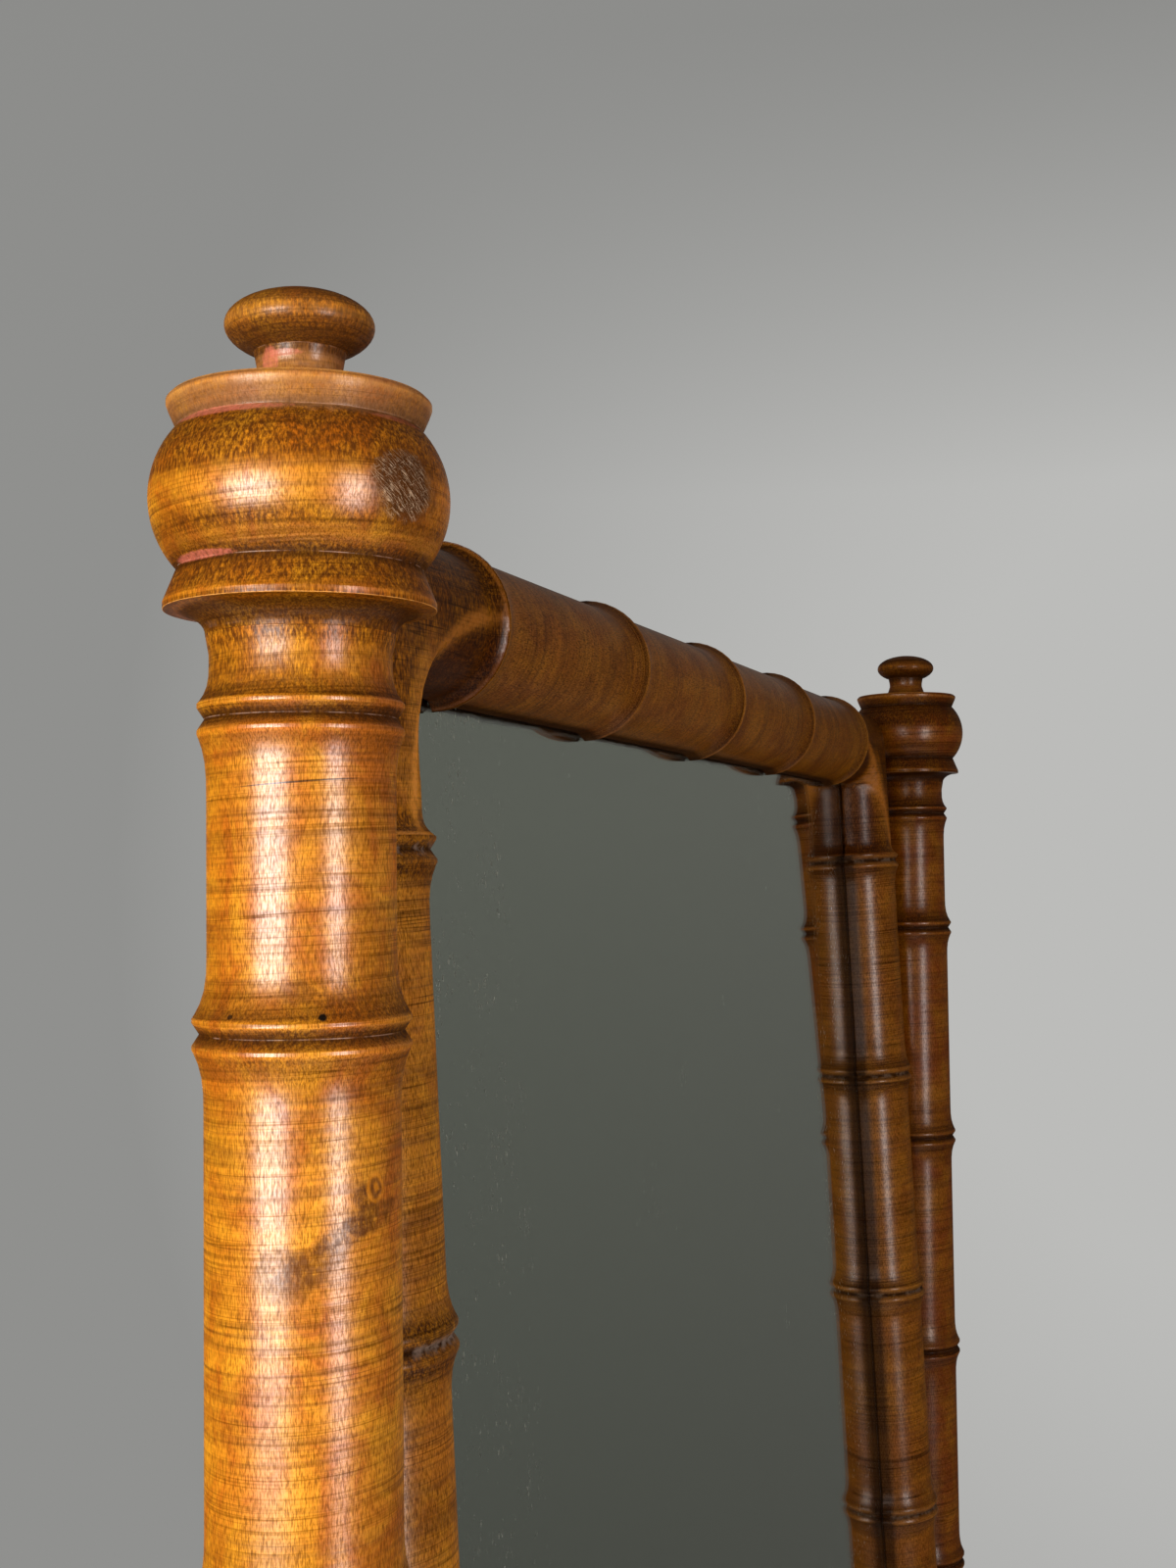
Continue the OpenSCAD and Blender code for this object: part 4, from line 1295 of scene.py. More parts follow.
class Finishes:
    """Every finish of the mirror, made once."""

    def __init__(self) -> None:
        """Builds the shared effects and each material."""
        effects = Effects()
        self.effects = effects
        self.honey = PolishedWood(
            name="honey_wood",
            pale=rgb(240, 158, 28),
            deep=rgb(203, 109, 11),
            toner=rgb(92, 47, 5),
            dark=rgb(50, 24, 3),
            rubbed=rgb(238, 168, 84),
            residue=rgb(190, 150, 128),
        )
        self.post_wood = self.honey.make(effects)
        red_brown = PolishedWood(
            name="red_brown_wood",
            pale=rgb(242, 158, 24),
            deep=rgb(212, 126, 14),
            toner=rgb(82, 41, 3),
            dark=rgb(34, 16, 4),
            rubbed=rgb(238, 172, 88),
            residue=rgb(170, 146, 130),
            worn=0.3,
            lines=0.74,
            fibres=0.80,
        )
        self.frame_wood = red_brown.make(effects)
        # The elbows' worn ridge colour paints a highlight along their crest
        carved = replace(red_brown, name="carved_wood", worn=0.85, rubbed=rgb(240, 152, 52))
        self.elbow_wood = carved.make(effects)
        self.pale_wood = BareWood().make()
        brass = PlainFinish("aged_brass", rgb(190, 150, 84), rgb(120, 86, 40), 1.0, 0.42)
        steel = PlainFinish("dull_steel", rgb(150, 148, 144), rgb(96, 92, 88), 1.0, 0.45)
        leather = PlainFinish("dark_leather", rgb(96, 60, 34), rgb(56, 34, 20), 0.0, 0.7, 900)
        self.brass, self.steel, self.leather = brass.make(), steel.make(), leather.make()
        mirror = SilveredGlass()
        self.glass = mirror.glass()
        self.silver = mirror.silver()


def finish_piece(
    piece: Piece, material: Material, body: Body, slot: Slot, *nodes: str
) -> None:
    """Gives a piece its material, the body it rides on and the nodes it stands for.

    Args:
        piece: The finished mesh.
        material: Its material.
        body: The body it moves with.
        slot: The record's slot of its finish; not used.
        nodes: CAD nodes that it replaces.
    """
    piece.data.materials.clear()
    piece.data.materials.append(material)
    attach(piece, body.value)
    if nodes:
        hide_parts(*nodes)
    faces = len(piece.data.polygons)
    LOG.info("%s: %d faces, on %s, %s", piece.name, faces, body.value, material.name)


# ---- sub-assemblies ----


# Millimetres below the knob level, and strength of the brown laid on there: the polisher's, and
# painted shade on the urn's upper slope, under the lips and on the knob's top
FINIAL_BANDS: Bands = (
    (16.6, 0.0), (18.0, 0.36), (23.5, 0.5), (26.0, 0.75), (31.0, 0.95), (34.5, 0.8),
    (37.0, 0.55), (39.0, 0.15), (41.0, 0.03), (46.5, 0.16), (48.5, 0.5), (50.5, 0.42),
    (51.5, 0.08), (53.5, 0.2), (55.0, 0.7), (57.5, 0.55), (60.5, 0.85), (63.0, 0.5),
    (64.0, 0.1), (65.5, 0.95), (68.5, 0.85), (71.0, 0.78), (72.0, 0.76),
)
KNOB_BANDS: Bands = (
    (-9.0, 0.36), (-7.0, 0.45), (-3.0, 0.48), (2.0, 0.58), (7.9, 0.75), (8.1, 0.0), (14.0, 0.1),
)
NECK_BANDS: Bands = (
    (70.9, 0.0), (71.0, 0.72), (73.0, 0.48), (76.0, 0.22), (81.0, 0.05), (88.0, 0.0),
)
TONED_AND_SHADED = {"post": NECK_BANDS, "finial": FINIAL_BANDS, "finial_knob": KNOB_BANDS}
NEAR_POST_MARKS = (
    Mark(Trace.CRACK, 205.0, 0.1050, 14.5 * MM, 0.22 * MM, 4.0, 0.75),
    Mark(Trace.SPOT, 167.8, 0.1552, 0.8 * MM, 0.6 * MM, 0.0, 0.8),
    Mark(Trace.SPOT, 218.6, 0.1553, 1.0 * MM, 0.85 * MM, 20.0, 1.0),
    Mark(Trace.STAIN, 205.0, 0.1500, 4.0 * MM, 3.0 * MM, 10.0, 0.6),
    Mark(Trace.STAIN, 251.0, 0.1990, 9.0 * MM, 3.6 * MM, 12.0, 0.8),
    Mark(Trace.STAIN, 232.0, 0.2020, 8.5 * MM, 3.4 * MM, 22.0, 0.8),
    Mark(Trace.STAIN, 214.0, 0.2075, 9.0 * MM, 4.6 * MM, 24.0, 0.7),
    Mark(Trace.STAIN, 198.0, 0.2100, 8.0 * MM, 7.0 * MM, 0.0, 0.6),
    Mark(Trace.STAIN, 247.0, 0.1942, 4.4 * MM, 3.4 * MM, 0.0, 1.0),
    Mark(Trace.KNOT, 253.5, 0.1928, 3.2 * MM, 4.0 * MM, 12.0, 0.62),
    Mark(Trace.KNOT, 258.4, 0.1842, 1.0 * MM, 1.4 * MM, 0.0, 0.6),
)
NEAR_FINIAL_MARKS = (
    Mark(Trace.FILM, 205.0, 0.0210, 60.0 * MM, 5.4 * MM, 0.0, 0.52),
    Mark(Trace.SCUFF, 250.5, 0.0412, 9.6 * MM, 8.2 * MM, 0.0, 0.95),
    Mark(Trace.STAIN, 251.5, 0.0410, 12.5 * MM, 10.5 * MM, 0.0, 0.7),
    Mark(Trace.ROUGE, 170.0, 0.0251, 17.0 * MM, 1.0 * MM, 0.0, 0.55),
    Mark(Trace.ROUGE, 258.0, 0.0256, 10.0 * MM, 0.8 * MM, 0.0, 0.3),
    Mark(Trace.ROUGE, 157.0, 0.0558, 11.5 * MM, 1.0 * MM, 0.0, 0.6),
)
NEAR_KNOB_MARKS = (
    Mark(Trace.FILM, 205.0, 0.0125, 60.0 * MM, 5.0 * MM, 0.0, 0.45),
    # A faint painted sheen on the knob
    Mark(Trace.FILM, 205.0, 0.0040, 60.0 * MM, 9.0 * MM, 0.0, 0.08),
    Mark(Trace.ROUGE, 166.0, 0.0098, 2.8 * MM, 3.4 * MM, 0.0, 0.6),
    Mark(Trace.ROUGE, 185.0, 0.0084, 5.0 * MM, 0.9 * MM, 0.0, 0.45),
)


@dataclass
class Post:
    """One turned post with its urn finial and knob.

    Attributes:
        side: End of the mirror that it stands at.
        lathe: The lathe that turns it.
        seed: Number that shifts its grain.
        tone: How much darker it is painted than its fellow, partly a darker polish and partly
            painted shade.
        marks: Traces on post, finial and knob.
        joint: Half of the height of the unrubbed band where post and finial meet.
    """

    side: Side
    lathe: Lathe
    seed: int = 1
    tone: float = 0.0
    marks: tuple[tuple[Mark, ...], ...] = ((), (), ())
    joint: float = 0.6 * MM

    def build(self, finishes: Finishes) -> None:
        """Turns post, finial and knob.

        Args:
            finishes: The finishes to dress them with.
        """
        for n, part in enumerate(("post", "finial", "finial_knob")):
            node = f"{self.side.word}_{part}"
            axis = box_axis(node, Grain.UPRIGHT)
            piece = self.lathe.turn(f"{node}_turned", self.lathe.outline(node, axis), axis)
            middle = axis.middle.z
            top = KNOB_LEVEL - middle
            # Bands of brown, with painted shade under the lips and on the tops
            toned_and_shaded = tuple((top - drop * MM, share) for drop, share in reversed(TONED_AND_SHADED[part]))
            hollow = 1.0 if part == "post" else 0.0
            mark_shape(piece, axis, self.seed + n, self.tone, toned_and_shaded, hollow=hollow)
            self.close_joint(piece)
            name = f"{finishes.honey.name}_{self.side.word}_{part}"
            material = finishes.honey.make(finishes.effects, name, self.marks[n], middle)
            finish_piece(piece, material, Body.STAND, Slot.WOOD, node)

    def close_joint(self, piece: Piece) -> None:
        """Leaves the arrises unrubbed, without their painted highlight, where post and finial meet.

        Args:
            piece: The turned piece.
        """
        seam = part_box(f"{self.side.word}_post")[1]
        ridge = piece.data.attributes["ridge"].data
        for v in piece.data.vertices:
            if abs(v.co.z - seam.z) < self.joint:
                ridge[v.index].value = 0.0


@dataclass
class Base:
    """Foot bars, bun feet, braces, stretchers and spindles.

    Attributes:
        lathe: The lathe that turns the round pieces.
    """

    lathe: Lathe

    def build(self, finishes: Finishes) -> None:
        """Makes every piece of the base.

        Args:
            finishes: The finishes to dress them with.
        """
        seed = 40
        for side in Side:
            rows = [(f"{side.word}_foot_bar", Grain.FORE_AND_AFT)]
            rows += [(f"{side.word}_{end}_foot", Grain.UPRIGHT) for end in ("front", "rear")]
            for node, grain in rows:
                self.turned(node, grain, finishes, seed)
                seed += 1
            for end in ("front", "rear"):
                self.copied(f"{side.word}_{end}_brace", Grain.UPRIGHT, finishes, seed)
                seed += 1
            self.copied(f"{side.word}_collar", Grain.ACROSS, finishes, seed)
        for node in ("upper_stretcher", "lower_stretcher"):
            self.turned(node, Grain.ACROSS, finishes, seed)
            seed += 1
        self.copied("spindles", Grain.UPRIGHT, finishes, seed)

    def turned(self, node: str, grain: Grain, finishes: Finishes, seed: int) -> None:
        """Turns one piece from its node's outline."""
        axis = box_axis(node, grain)
        piece = self.lathe.turn(f"{node}_turned", self.lathe.outline(node, axis), axis)
        mark_shape(piece, axis, seed)
        finish_piece(piece, finishes.post_wood, Body.STAND, Slot.WOOD, node)

    def copied(self, node: str, grain: Grain, finishes: Finishes, seed: int) -> None:
        """Takes one piece's shape from its node."""
        piece = copy_node(node, f"{node}_shaped")
        turned = node == "spindles"
        mark_shape(piece, box_axis(node, grain), seed, hollow=1.0 if turned else 0.0)
        if not turned:
            store(piece, "groove", [0.0] * len(piece.data.vertices))
        finish_piece(piece, finishes.post_wood, Body.STAND, Slot.WOOD, node)


@dataclass
class Elbow:
    """A corner of the frame, carved smooth across its mitre.

    Attributes:
        side: End of the mirror.
        level: Height of the rail's turning axis above the pivot.
        inward: One where the stile hangs below the rail, minus one where it stands above.
        voxel: Size of the carver's finest cut.
        rail_reach: Distance from the corner to the edge of the rail's first ring, where it ends.
        stile_reach: The same on the stile.
        tuck: Length of each end that goes on inside the ring.
        stop: Distance from the corner where the carving stops.
        arc: Radius of the hollow.
        clear: Height over the glass at which the carving starts.
        strokes: Strokes of the carver's rasp at a cut of one millimetre.
        thin: How much the ends are thinned, so that they lie inside the rings.
    """

    side: Side
    level: float
    inward: int
    voxel: float
    rail_reach: float = 64.6 * MM
    stile_reach: float = 64.1 * MM
    tuck: float = 0.5 * MM
    stop: float = 49 * MM
    arc: float = 65 * MM
    clear: float = 2.5 * MM
    strokes: int = 46
    thin: float = 0.15 * MM

    def offsets(self, middle: Vector, stile_x: float, point: Vector) -> Vector:
        """A point's distances from the corner along the rail, along the stile and to the front."""
        upright = LEAN.inverted() @ (point - middle)
        along_rail = -self.side.value * (upright.x - self.side.value * stile_x)
        along_stile = -self.inward * (upright.z - self.level)
        return Vector((along_rail, along_stile, -upright.y))

    def build(self, maker: "MirrorFrame", stile: Piece, rail: Piece, glass: float) -> Piece:
        """Carves the elbow out of the ends of its two members.

        Args:
            maker: The frame, for its measures.
            stile: The merged stile.
            rail: The merged rail.
            glass: Distance of the glass's face in front of the members' axes.

        Returns:
            The carved elbow.
        """
        middle = Vector((0, 0, maker.pivot))
        corner = middle + LEAN @ Vector((self.side.value * maker.stile_x, 0, self.level))
        down, across = LEAN @ Vector((0, 0, -self.inward)), Vector((-self.side.value, 0, 0))
        level = "upper" if self.inward > 0 else "lower"
        name = f"{self.side.word}_{level}_elbow"
        ends = []
        members = ((stile, down, self.stile_reach), (rail, across, self.rail_reach))
        for member, way, reach in members:
            take_up(member)
            bpy.ops.object.duplicate(linked=False)
            end = bpy.context.object
            cut(end, corner + way * (reach + self.tuck), way)
            ends.append(end)
        take_up(ends[0])
        ends[1].select_set(True)
        bpy.ops.object.join()
        piece = bpy.context.object
        piece.name = name
        piece.data.name = name
        piece.data.remesh_voxel_size = self.voxel
        piece.data.remesh_voxel_adaptivity = 0.0
        bpy.ops.object.voxel_remesh()
        places = [self.offsets(middle, maker.stile_x, v.co) for v in piece.data.vertices]
        carved = [max(p.x, p.y) < self.stop and p.z > glass + self.clear for p in places]
        choose(piece, carved)
        strokes = round(self.strokes * (MM / self.voxel) ** 2)
        bpy.ops.mesh.vertices_smooth(factor=0.5, repeat=strokes)
        bpy.ops.object.mode_set(mode="OBJECT")
        rail_end, stile_end = self.rail_reach - 0.3 * MM, self.stile_reach - 0.3 * MM
        choose(piece, [p.x > rail_end or p.y > stile_end for p in places])
        bpy.ops.transform.shrink_fatten(value=-self.thin)
        bpy.ops.object.mode_set(mode="OBJECT")
        choose(piece, [True] * len(places))
        bpy.ops.mesh.vertices_smooth(factor=0.4, repeat=2)
        bpy.ops.mesh.normals_make_consistent(inside=False)
        bpy.ops.object.mode_set(mode="OBJECT")
        bpy.ops.object.shade_smooth_by_angle(angle=CARVED_EDGE)
        return piece

    def stain(
        self, maker: "MirrorFrame", piece: Piece, rail_tone: float, stile_tone: float
    ) -> None:
        """Paints shade into the hollow, onto the elbow's back and by the rings, and rubs its ridge
        and the rings' rims as a painted highlight.

        Args:
            maker: The frame, for its measures.
            piece: The elbow.
            rail_tone: How much darker the rail is painted than the post, partly a darker polish and
                partly painted shade.
            stile_tone: The same for the stile.
        """
        middle = Vector((0, 0, maker.pivot))
        ridge, shelter, tone = [], [], []
        for v in piece.data.vertices:
            p = self.offsets(middle, maker.stile_x, v.co)
            inside = self.arc - math.hypot(p.x - self.arc, p.y - self.arc)
            # Painted shade in the hollow under the ridge
            hollow = smooth_step(inside, 1.0 * MM, 7 * MM)
            hollow *= 1 - smooth_step(p.y, 12 * MM, 34 * MM)
            # Painted shade on the elbow's back
            behind = smooth_step(-inside, 3 * MM, 14 * MM)
            behind *= 1 - smooth_step(p.y, 36 * MM, 60 * MM)
            # Painted shade on the flares by the rings, and a painted highlight on their rims
            out_x, out_y = p.x - self.rail_reach, p.y - self.stile_reach
            flare = max(smooth_step(out, -11 * MM, -3 * MM) for out in (out_x, out_y))
            rim = max(smooth_step(out, -1.3 * MM, -0.5 * MM) for out in (out_x, out_y))
            # Painted highlight along the crest of the ridge
            worn = math.exp(-((inside / (2.4 * MM)) ** 2)) * smooth_step(p.z, 8 * MM, 16 * MM)
            ridge.append(max(worn * (1 - 0.6 * flare), 0.7 * rim))
            toned_and_shaded = 0.18 + 0.45 * smooth_step(p.x, 8 * MM, 34 * MM)
            shelter.append(max(hollow, 0.8 * behind, 0.9 * flare, toned_and_shaded))
            share = smooth_step(p.x - p.y, -30 * MM, 30 * MM)
            mixed = stile_tone + (rail_tone - stile_tone) * share
            # Painted shade deep in the hollow, added to the tone
            depth = smooth_step(inside, 2 * MM, 9 * MM) * smooth_step(p.x, 4 * MM, 24 * MM)
            tone.append(min(1.0, mixed + 0.5 * depth))
        layers = {"ridge": ridge, "shelter": shelter, "tone": tone, "groove": [0.0] * len(ridge)}
        for word, values in layers.items():
            store(piece, word, values)


@dataclass
class MirrorFrame:
    """The four mitred members of the tilting frame.

    Attributes:
        pivot: Height of the pivot axis.
        stile_x: Distance of a stile's turning axis from the middle.
        top_rise: Distance of the top rail's turning axis above the pivot.
        bottom_drop: Distance of the bottom rail's turning axis below it.
        radius: Radius of a member between its rings.
        line: Width of the shadow painted on a member beside the glass.
        flat_back: Distance of the members' flat backs behind their axes.
        near_cut: Size of the finest cut at the corner that the photograph shows.
        far_cut: The same at the other corners.
    """

    pivot: float = 1.090
    stile_x: float = 0.3285
    top_rise: float = 0.5885
    bottom_drop: float = 0.6615
    radius: float = 0.0228
    line: float = 9 * MM
    flat_back: float = 16 * MM
    near_cut: float = 0.8 * MM
    far_cut: float = 1.25 * MM

    def axis(self, x: float, z: float, grain: Grain) -> Axis:
        """The turning axis of a member whose middle lies at a place in the upright frame."""
        other = Grain.ACROSS if grain is Grain.UPRIGHT else Grain.UPRIGHT
        middle = Vector((0, 0, self.pivot)) + LEAN @ Vector((x, 0, z))
        return Axis(middle, LEAN @ WAYS[grain], LEAN @ WAYS[other])

    def build(self, finishes: Finishes) -> None:
        """Makes stiles, rails and the elbows between them.

        Args:
            finishes: The finishes to dress them with.
        """
        middle = (self.top_rise - self.bottom_drop) / 2
        half = (self.top_rise + self.bottom_drop) / 2
        front = LEAN @ Vector((0, -1, 0))
        pivot, plate = Vector((0, 0, self.pivot)), frame["nodes"]["mirror_plate"].data
        face = max(-(LEAN.inverted() @ (v.co - pivot)).y for v in plate.vertices)
        # Place of each member's middle, its grain, half of its length, and its tone: a darker
        # polish, partly painted shade
        rows = {
            "left_stile": (-self.stile_x, middle, Grain.UPRIGHT, half, 0.0),
            "right_stile": (self.stile_x, middle, Grain.UPRIGHT, half, 0.68),
            "top_rail": (0.0, self.top_rise, Grain.ACROSS, self.stile_x, 0.71),
            "bottom_rail": (0.0, -self.bottom_drop, Grain.ACROSS, self.stile_x, 0.35),
        }
        # Strength of the brown toner on each member's rings
        rings = {"left_stile": 1.0, "right_stile": 0.5, "top_rail": 0.15, "bottom_rail": 0.4}
        members = {node: copy_node(node, f"{node}_shaped") for node in rows}
        elbows = []
        rails = (("top_rail", self.top_rise, 1), ("bottom_rail", -self.bottom_drop, -1))
        for side in Side:
            for rail, level, inward in rails:
                near = side is Side.LEFT and inward > 0
                elbow = Elbow(side, level, inward, self.near_cut if near else self.far_cut)
                stile = f"{side.word}_stile"
                piece = elbow.build(self, members[stile], members[rail], face)
                elbows.append((elbow, piece, rows[rail][4], rows[stile][4]))
        for n, (node, (x, z, grain, long, tone)) in enumerate(rows.items()):
            axis = self.axis(x, z, grain)
            lip = Elbow.rail_reach if grain is Grain.ACROSS else Elbow.stile_reach
            for way in (-1, 1):
                end = axis.middle + axis.along * (way * (long - lip))
                cut(members[node], end, axis.along * way)
            take_up(members[node])
            bpy.ops.object.shade_smooth_by_angle(angle=SHAPED_EDGE)
            mark_shape(members[node], axis, 80 + n, tone, front=front)
            self.shade(members[node], axis, front, face, long - lip, rings[node])
            finish_piece(members[node], finishes.frame_wood, Body.MIRROR, Slot.FRAME_WOOD, node)
        for n, (elbow, piece, rail_tone, stile_tone) in enumerate(elbows):
            axis = self.axis(elbow.side.value * self.stile_x, middle, Grain.UPRIGHT)
            mark_shape(piece, axis, 84 + n)
            # Paints shade and highlight on the elbow
            elbow.stain(self, piece, rail_tone, stile_tone)
            finish_piece(piece, finishes.elbow_wood, Body.MIRROR, Slot.FRAME_WOOD)

    def shade(
        self, piece: Piece, axis: Axis, front: Vector, face: float, reach: float, ring: float
    ) -> None:
        """Darkens a member's rings, and paints shadow along the line where it meets the glass.

        Args:
            piece: The member.
            axis: Its turning axis.
            front: Direction of the mirror's front.
            face: Distance of the glass's face in front of the axis.
            reach: Distance from its middle to its ends.
            ring: Strength of the polisher's brown on its rings.
        """
        ridge, shelter, groove = (
            piece.data.attributes[word].data for word in ("ridge", "shelter", "groove")
        )
        low, high = self.radius + 0.5 * MM, self.radius + 1.9 * MM
        for k, v in enumerate(piece.data.vertices):
            p = axis.local(v.co)
            if abs(p.z) > reach - 0.2 * MM:
                ridge[k].value = 0.0
            raised = smooth_step(radius_of(p), low, high) * ring
            ahead = (v.co - axis.middle).dot(front)
            # Painted shadow on the member along the glass
            if ahead < face + self.line and radius_of(p) > 0.5 * self.radius:
                dark = 1 - smooth_step(ahead - face, 2 * MM, self.line)
                groove[k].value = max(groove[k].value, dark)
                ridge[k].value *= 1 - dark
            if ahead > -self.flat_back:
                shelter[k].value = max(shelter[k].value, raised)
                ridge[k].value *= 1 - 0.8 * raised


@dataclass
class Glass:
    """The silvered plate.

    Attributes:
        coat: Thickness of silver and paint together.
    """

    coat: float = 0.25 * MM

    def build(self, finishes: Finishes) -> None:
        """Cuts the plate and lays the silver on its back.

        Args:
            finishes: The finishes to dress it with.
        """
        plate = copy_node("mirror_plate", "mirror_glass")
        back = LEAN @ Vector((0, 1, 0))
        coat = copy_node("mirror_plate", "mirror_silver")
        low = min(v.co.dot(back) for v in coat.data.vertices)
        high = max(v.co.dot(back) for v in coat.data.vertices)
        for v in plate.data.vertices:
            if v.co.dot(back) > (low + high) / 2:
                v.co -= back * self.coat
        for v in coat.data.vertices:
            if v.co.dot(back) < (low + high) / 2:
                v.co += back * (high - low - self.coat)
        finish_piece(plate, finishes.glass, Body.MIRROR, Slot.SILVERED_GLASS, "mirror_plate")
        finish_piece(coat, finishes.silver, Body.MIRROR, Slot.SILVERED_GLASS)


@dataclass
class Fittings:
    """Boards, blocks, dowels, plates, washers, screws and clamping knobs.

    Attributes:
        slot_half: Half of the width of a screw's slot.
        slot_reach: Half of its length.
        slot_depth: Its depth.
        arris: Width that the edges of metal and leather are eased to.
        flat: Distance below a head's top within which a point lies on its face.
    """

    slot_half: float = 0.35 * MM
    slot_reach: float = 2.35 * MM
    slot_depth: float = 0.6 * MM
    arris: float = 0.3 * MM
    flat: float = 0.02 * MM

    def build(self, finishes: Finishes) -> None:
        """Shapes and dresses the small pieces.

        Args:
            finishes: The finishes to dress them with.
        """
        seed = 60
        for row in ("upper", "middle", "lower"):
            self.sawn(f"{row}_backboard", Grain.ACROSS, finishes, seed)
            seed += 1
        self.sawn("glazing_blocks", Grain.UPRIGHT, finishes, seed)
        self.sawn("mitre_dowels", Grain.ACROSS, finishes, seed + 1)
        back = LEAN @ Vector((0, 1, 0))
        self.slotted("backboard_screws", back, Body.MIRROR, finishes)
        self.slotted("pivot_plate_screws", None, Body.MIRROR, finishes)
        for side, body in ((Side.LEFT, Body.LEFT_CLAMP), (Side.RIGHT, Body.RIGHT_CLAMP)):
            self.eased(f"{side.word}_pivot_plate", finishes.brass, Body.MIRROR, Slot.BRASS)
            self.eased(f"{side.word}_knob_washer", finishes.brass, Body.STAND, Slot.BRASS)
            self.eased(f"{side.word}_friction_washer", finishes.leather, Body.MIRROR, Slot.LEATHER)
            self.eased(f"{side.word}_clamp_screw", finishes.steel, body, Slot.STEEL)
            node = f"{side.word}_clamp_knob"
            piece = copy_node(node, f"{node}_shaped")
            mark_shape(piece, box_axis(node, Grain.ACROSS), 95 + side.value)
            finish_piece(piece, finishes.post_wood, body, Slot.WOOD, node)

    def sawn(self, node: str, grain: Grain, finishes: Finishes, seed: int) -> None:
        """Takes the shape of a piece of bare wood from its node and lays its grain."""
        piece = copy_node(node, f"{node}_sawn")
        lay_grain(piece, box_axis(node, grain, leaning=True), seed)
        finish_piece(piece, finishes.pale_wood, Body.MIRROR, Slot.PALE_WOOD, node)

    def eased(self, node: str, material: Material, body: Body, slot: Slot) -> None:
        """Takes a small piece's shape from its node and eases its edges."""
        piece = copy_node(node, f"{node}_eased")
        ease = piece.modifiers.new("ease", "BEVEL")
        ease.width = self.arris
        ease.segments = 2
        ease.limit_method = "ANGLE"
        ease.angle_limit = EASED_EDGE
        apply_modifiers(piece)
        finish_piece(piece, material, body, slot, node)

    def slotted(self, node: str, out: Vector | None, body: Body, finishes: Finishes) -> None:
        """Takes the screws' shapes from their node and cuts a slot in each head.

        Args:
            node: Name of the CAD node that holds the screws.
            out: Direction that the heads face, or none where each faces where it is widest.
            body: The body they move with.
            finishes: The finishes to dress them with.
        """
        draw = random.Random(7)
        whole = copy_node(node, f"{node}_slotted")
        take_up(whole)
        bpy.ops.mesh.separate(type="LOOSE")
        screws = list(bpy.context.selected_objects)
        for screw in screws:
            middle = sum((v.co for v in screw.data.vertices), Vector()) / len(screw.data.vertices)
            way = out
            if way is None:
                width = {w: self.spread(screw, middle, Vector((w, 0, 0))) for w in (-1, 1)}
                way = Vector((max(width, key=width.get), 0, 0))
            self.slot_head(screw, middle, way, draw.uniform(0, math.pi))
        take_up(screws[0])
        for screw in screws[1:]:
            screw.select_set(True)
        bpy.ops.object.join()
        piece = bpy.context.object
        piece.name = f"{node}_slotted"
        bpy.ops.object.shade_smooth_by_angle(angle=METAL_EDGE)
        finish_piece(piece, finishes.steel, body, Slot.STEEL, node)

    def spread(self, screw: Piece, middle: Vector, way: Vector) -> float:
        """Radius of a screw's end that lies along a direction."""
        end = max((v.co - middle).dot(way) for v in screw.data.vertices)
        ring = [v.co for v in screw.data.vertices if (v.co - middle).dot(way) > end - 0.05 * MM]
        return max(((c - middle) - way * (c - middle).dot(way)).length for c in ring)

    def slot_head(self, screw: Piece, middle: Vector, way: Vector, turn: float) -> None:
        """Cuts one slot.

        Args:
            screw: The screw, alone in its object.
            middle: A point on its axis.
            way: Direction that the head faces.
            turn: Angle that the driver left the slot at.
        """
        top = max((v.co - middle).dot(way) for v in screw.data.vertices) - self.flat
        along = Matrix.Rotation(turn, 3, way) @ way.orthogonal().normalized()
        sides = ((way.cross(along), self.slot_half), (along, self.slot_reach))
        choose(screw, [(v.co - middle).dot(way) > top for v in screw.data.vertices])
        for line, reach in sides:
            for sign in (-1, 1):
                place = middle + line * (sign * reach)
                bpy.ops.mesh.bisect(plane_co=tuple(place), plane_no=tuple(line))
                bpy.ops.object.mode_set(mode="OBJECT")
                choose(screw, [(v.co - middle).dot(way) > top for v in screw.data.vertices])
        bpy.ops.object.mode_set(mode="OBJECT")
        chosen = []
        for v in screw.data.vertices:
            gap = v.co - middle
            inside = all(abs(gap.dot(line)) < reach + self.flat / 2 for line, reach in sides)
            chosen.append(inside and gap.dot(way) > top)
        choose(screw, chosen)
        depth = tuple(way * -self.slot_depth)
        bpy.ops.mesh.extrude_region_move(TRANSFORM_OT_translate={"value": depth})
        bpy.ops.object.mode_set(mode="OBJECT")


# ---- studio ----


